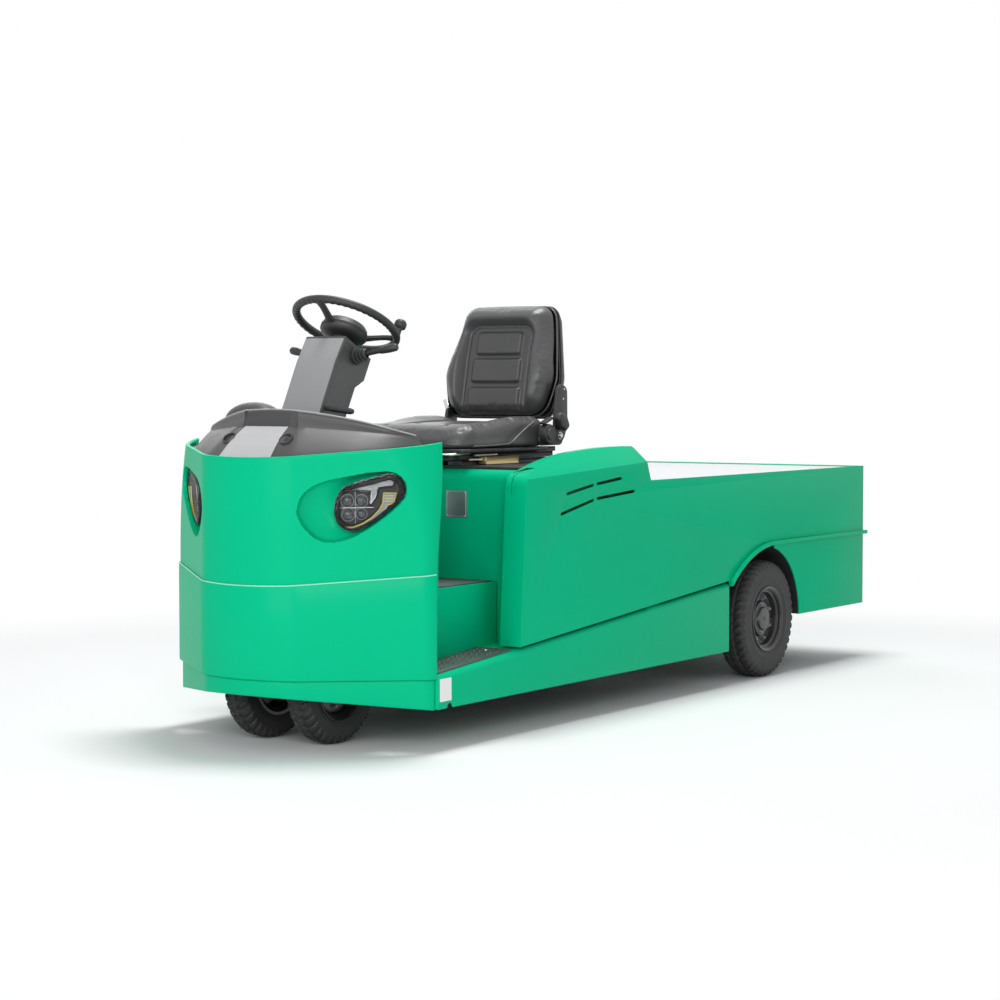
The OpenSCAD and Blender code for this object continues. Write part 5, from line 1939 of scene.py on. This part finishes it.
def makeStepPlate(side):
    # anti-slip plate with rows of pierced dimples; a flat black disc on each dimple is painted shade standing
    # in for the hole
    node = "step_plate_" + side
    low, high = cornersOf(node)
    plate = copyOfNode(node, "stepPlate" + side.title())
    roundEdges(plate, 0.0014, 2, 32)
    smooth(plate, 36)
    finished(plate, "step", replaces=[node])
    face = max(frame["nodes"][node].data.polygons, key=lambda f: f.normal.z * f.area)
    normal, base = face.normal.copy(), face.center.copy()

    def onPlate(x, y):
        return Vector((x, y, base.z - (normal.x * (x - base.x) + normal.y * (y - base.y)) / normal.z))

    rows, columns = stepPlate["rows"], stepPlate["columns"]
    inX, inY = stepPlate["margin"]
    r, h = stepPlate["radius"], stepPlate["high"]
    dimple = [(r * wide, h * rise) for wide, rise in stepPlate["dimple"]]
    dimples, holeShades = [], []
    for i in range(columns):
        for j in range(rows):
            shift = stepPlate["shift"] if i % 2 else -stepPlate["shift"]
            x = low.x + inX + (high.x - low.x - 2 * inX) * (j + 0.5 + shift) / rows
            y = low.y + inY + (high.y - low.y - 2 * inY) * (i + 0.5) / columns
            place = Matrix.Translation(onPlate(x, y))
            dimples.append(placed(spun("stepDimple", dimple, 14, normal), place))
            # a flat black disc on each dimple: painted shade in place of a hole
            holeShade = spun("stepHole", [(0.0, 0.0006), (r * 0.46, 0.0005)], 12, normal)
            holeShades.append(placed(holeShade, place))
    grouped("stepDimples" + side.title(), dimples, 50, "step")
    finished(joined("stepHoles" + side.title(), holeShades), "blackPlastic")
    bolts = []
    for along, across in stepPlate["bolts"]:
        place = onPlate(low.x + (high.x - low.x) * across, low.y + (high.y - low.y) * along)
        bolts.append(boltHead("stepBolt", place, normal, 0.0055, 0.0034))
    grouped("stepBolts" + side.title(), bolts, 35, "steel")


for side in ("left", "right"):
    makeStepPlate(side)
print("steps made")


trim = {
    "rivetIn": 0.006,
    "rivet": [(0.0, 0.0018), (0.0012, 0.0016), (0.0024, 0.0008), (0.0028, 0.0)],
    "borderIn": 0.004,
    "sticker": (0.318, 0.376, 0.147, 0.214),  # from and to s, from and to height, on the left sill
    "stickerRound": 0.003,
    "stickerThick": 0.0006,
}


def boxOutline(x0, x1, y0, y1, radius, step):
    return roundedOutline([(x0, y0, radius), (x1, y0, radius), (x1, y1, radius), (x0, y1, radius)], step)


def makeDataPlate():
    # blank plate with a raised border and four rivets
    low, high = cornersOf("data_plate")
    inset = trim["borderIn"]
    border = boxOutline(low.x + inset, high.x - inset, low.z + inset, high.z - inset, inset, 15)
    line = rod("dataPlateBorder", [Vector((p.x, low.y, p.y)) for p in border], 0.0009, closed=True, sides=2)
    finished(line, "steel")
    rivets = []
    for x in (low.x + trim["rivetIn"], high.x - trim["rivetIn"]):
        for z in (low.z + trim["rivetIn"], high.z - trim["rivetIn"]):
            rivet = spun("plateRivet", trim["rivet"], 14, (0, -1, 0))
            rivets.append(placed(rivet, Matrix.Translation((x, low.y, z))))
    grouped("dataPlateRivets", rivets, 50, "steel")


def makeSticker():
    outline = boxOutline(*trim["sticker"], trim["stickerRound"], 15)
    points = [alongBody(nosePlan["halfWidth"], p.x, p.y) for p in outline]
    film = slab("sillSticker", points, (trim["stickerThick"], 0, 0))
    finished(film, "sticker")


makeDataPlate()
makeSticker()
print("plates made")


rearLamp = {
    "edge": 0.006,
    "corner": 0.012,       # radius of the black frame's corners
    "frame": 0.0035,
    "frameIn": 0.003,
    "amber": (0.30, 0.74),  # shares of the lens's width and height
    "amberIn": 0.004,
    "amberThick": 0.004,
}


def makeRearLamps():
    # red lens with an amber third and a black frame round it
    node = "rear_lamps"
    low, high = cornersOf(node)
    glass = copyOfNode(node, "rearLampLenses")
    roundEdges(glass, rearLamp["edge"], 3, 40)
    smooth(glass, 40)
    finished(glass, "redLens", replaces=[node])
    frames, ambers = [], []
    across = [p.co.x for p in frame["nodes"][node].data.vertices if p.co.x > 0]
    x0, x1 = min(across), max(across)
    outline = boxOutline(x0, x1, low.z, high.z, rearLamp["corner"], 12)
    wide, tall = (x1 - x0) * rearLamp["amber"][0], (high.z - low.z) * rearLamp["amber"][1]
    for sign in (-1, 1):
        ring = [Vector((sign * p.x, low.y + rearLamp["frameIn"], p.y)) for p in outline]
        frames.append(rod("lampFrame", ring, rearLamp["frame"], closed=True))
        middle = (sign * (x1 - wide / 2 - rearLamp["amberIn"]), high.y, (low.z + high.z) / 2)
        amber = block("lampAmber", (wide, rearLamp["amberThick"], tall), middle)
        roundEdges(amber, 0.0016, 2, 40)
        ambers.append(amber)
    finished(joined("rearLampFrames", frames), "blackPlastic")
    grouped("rearLampAmber", ambers, 40, "amberLens")


makeRearLamps()
print("rear lamps made")


deckFittings = {
    "slotArea": (0.06, 0.02, 0.2),  # half width and distances from the hatch's front that hold its slot
    "cup": (0.125, 0.042, 0.004),   # plate that closes the slot from below
    "cupDrop": 0.003,
    "screwIn": 0.018,
    "screw": [(0.0, -0.0004), (0.0024, -0.0004), (0.0027, 0.0002), (0.0058, 0.0005), (0.0066, 0.0)],
}


def makeDeckFittings():
    # dark finger cup under the hatch's slot, and flush screws along the hatch
    low, high = cornersOf("deck_hatch")
    wide, start, stop = deckFittings["slotArea"]
    slotY = [p.co.y for p in frame["nodes"]["deck_hatch"].data.vertices
             if abs(p.co.x) < wide and low.y + start < p.co.y < low.y + stop]
    middle = (0, (min(slotY) + max(slotY)) / 2, low.z - deckFittings["cupDrop"])
    cup = block("hatchCup", deckFittings["cup"], middle)
    roundEdges(cup, 0.001, 2, 40)
    finished(cup, "blackPlastic")
    screws = []
    inset = deckFittings["screwIn"]
    for x in (low.x + inset, 0.0, high.x - inset):
        for y in (low.y + inset, high.y - inset):
            screw = spun("hatchScrew", deckFittings["screw"], 18, (0, 0, 1))
            screws.append(placed(screw, Matrix.Translation((x, y, high.z))))
    grouped("hatchScrews", screws, 40, "steel")


makeDeckFittings()
print("deck fittings made")
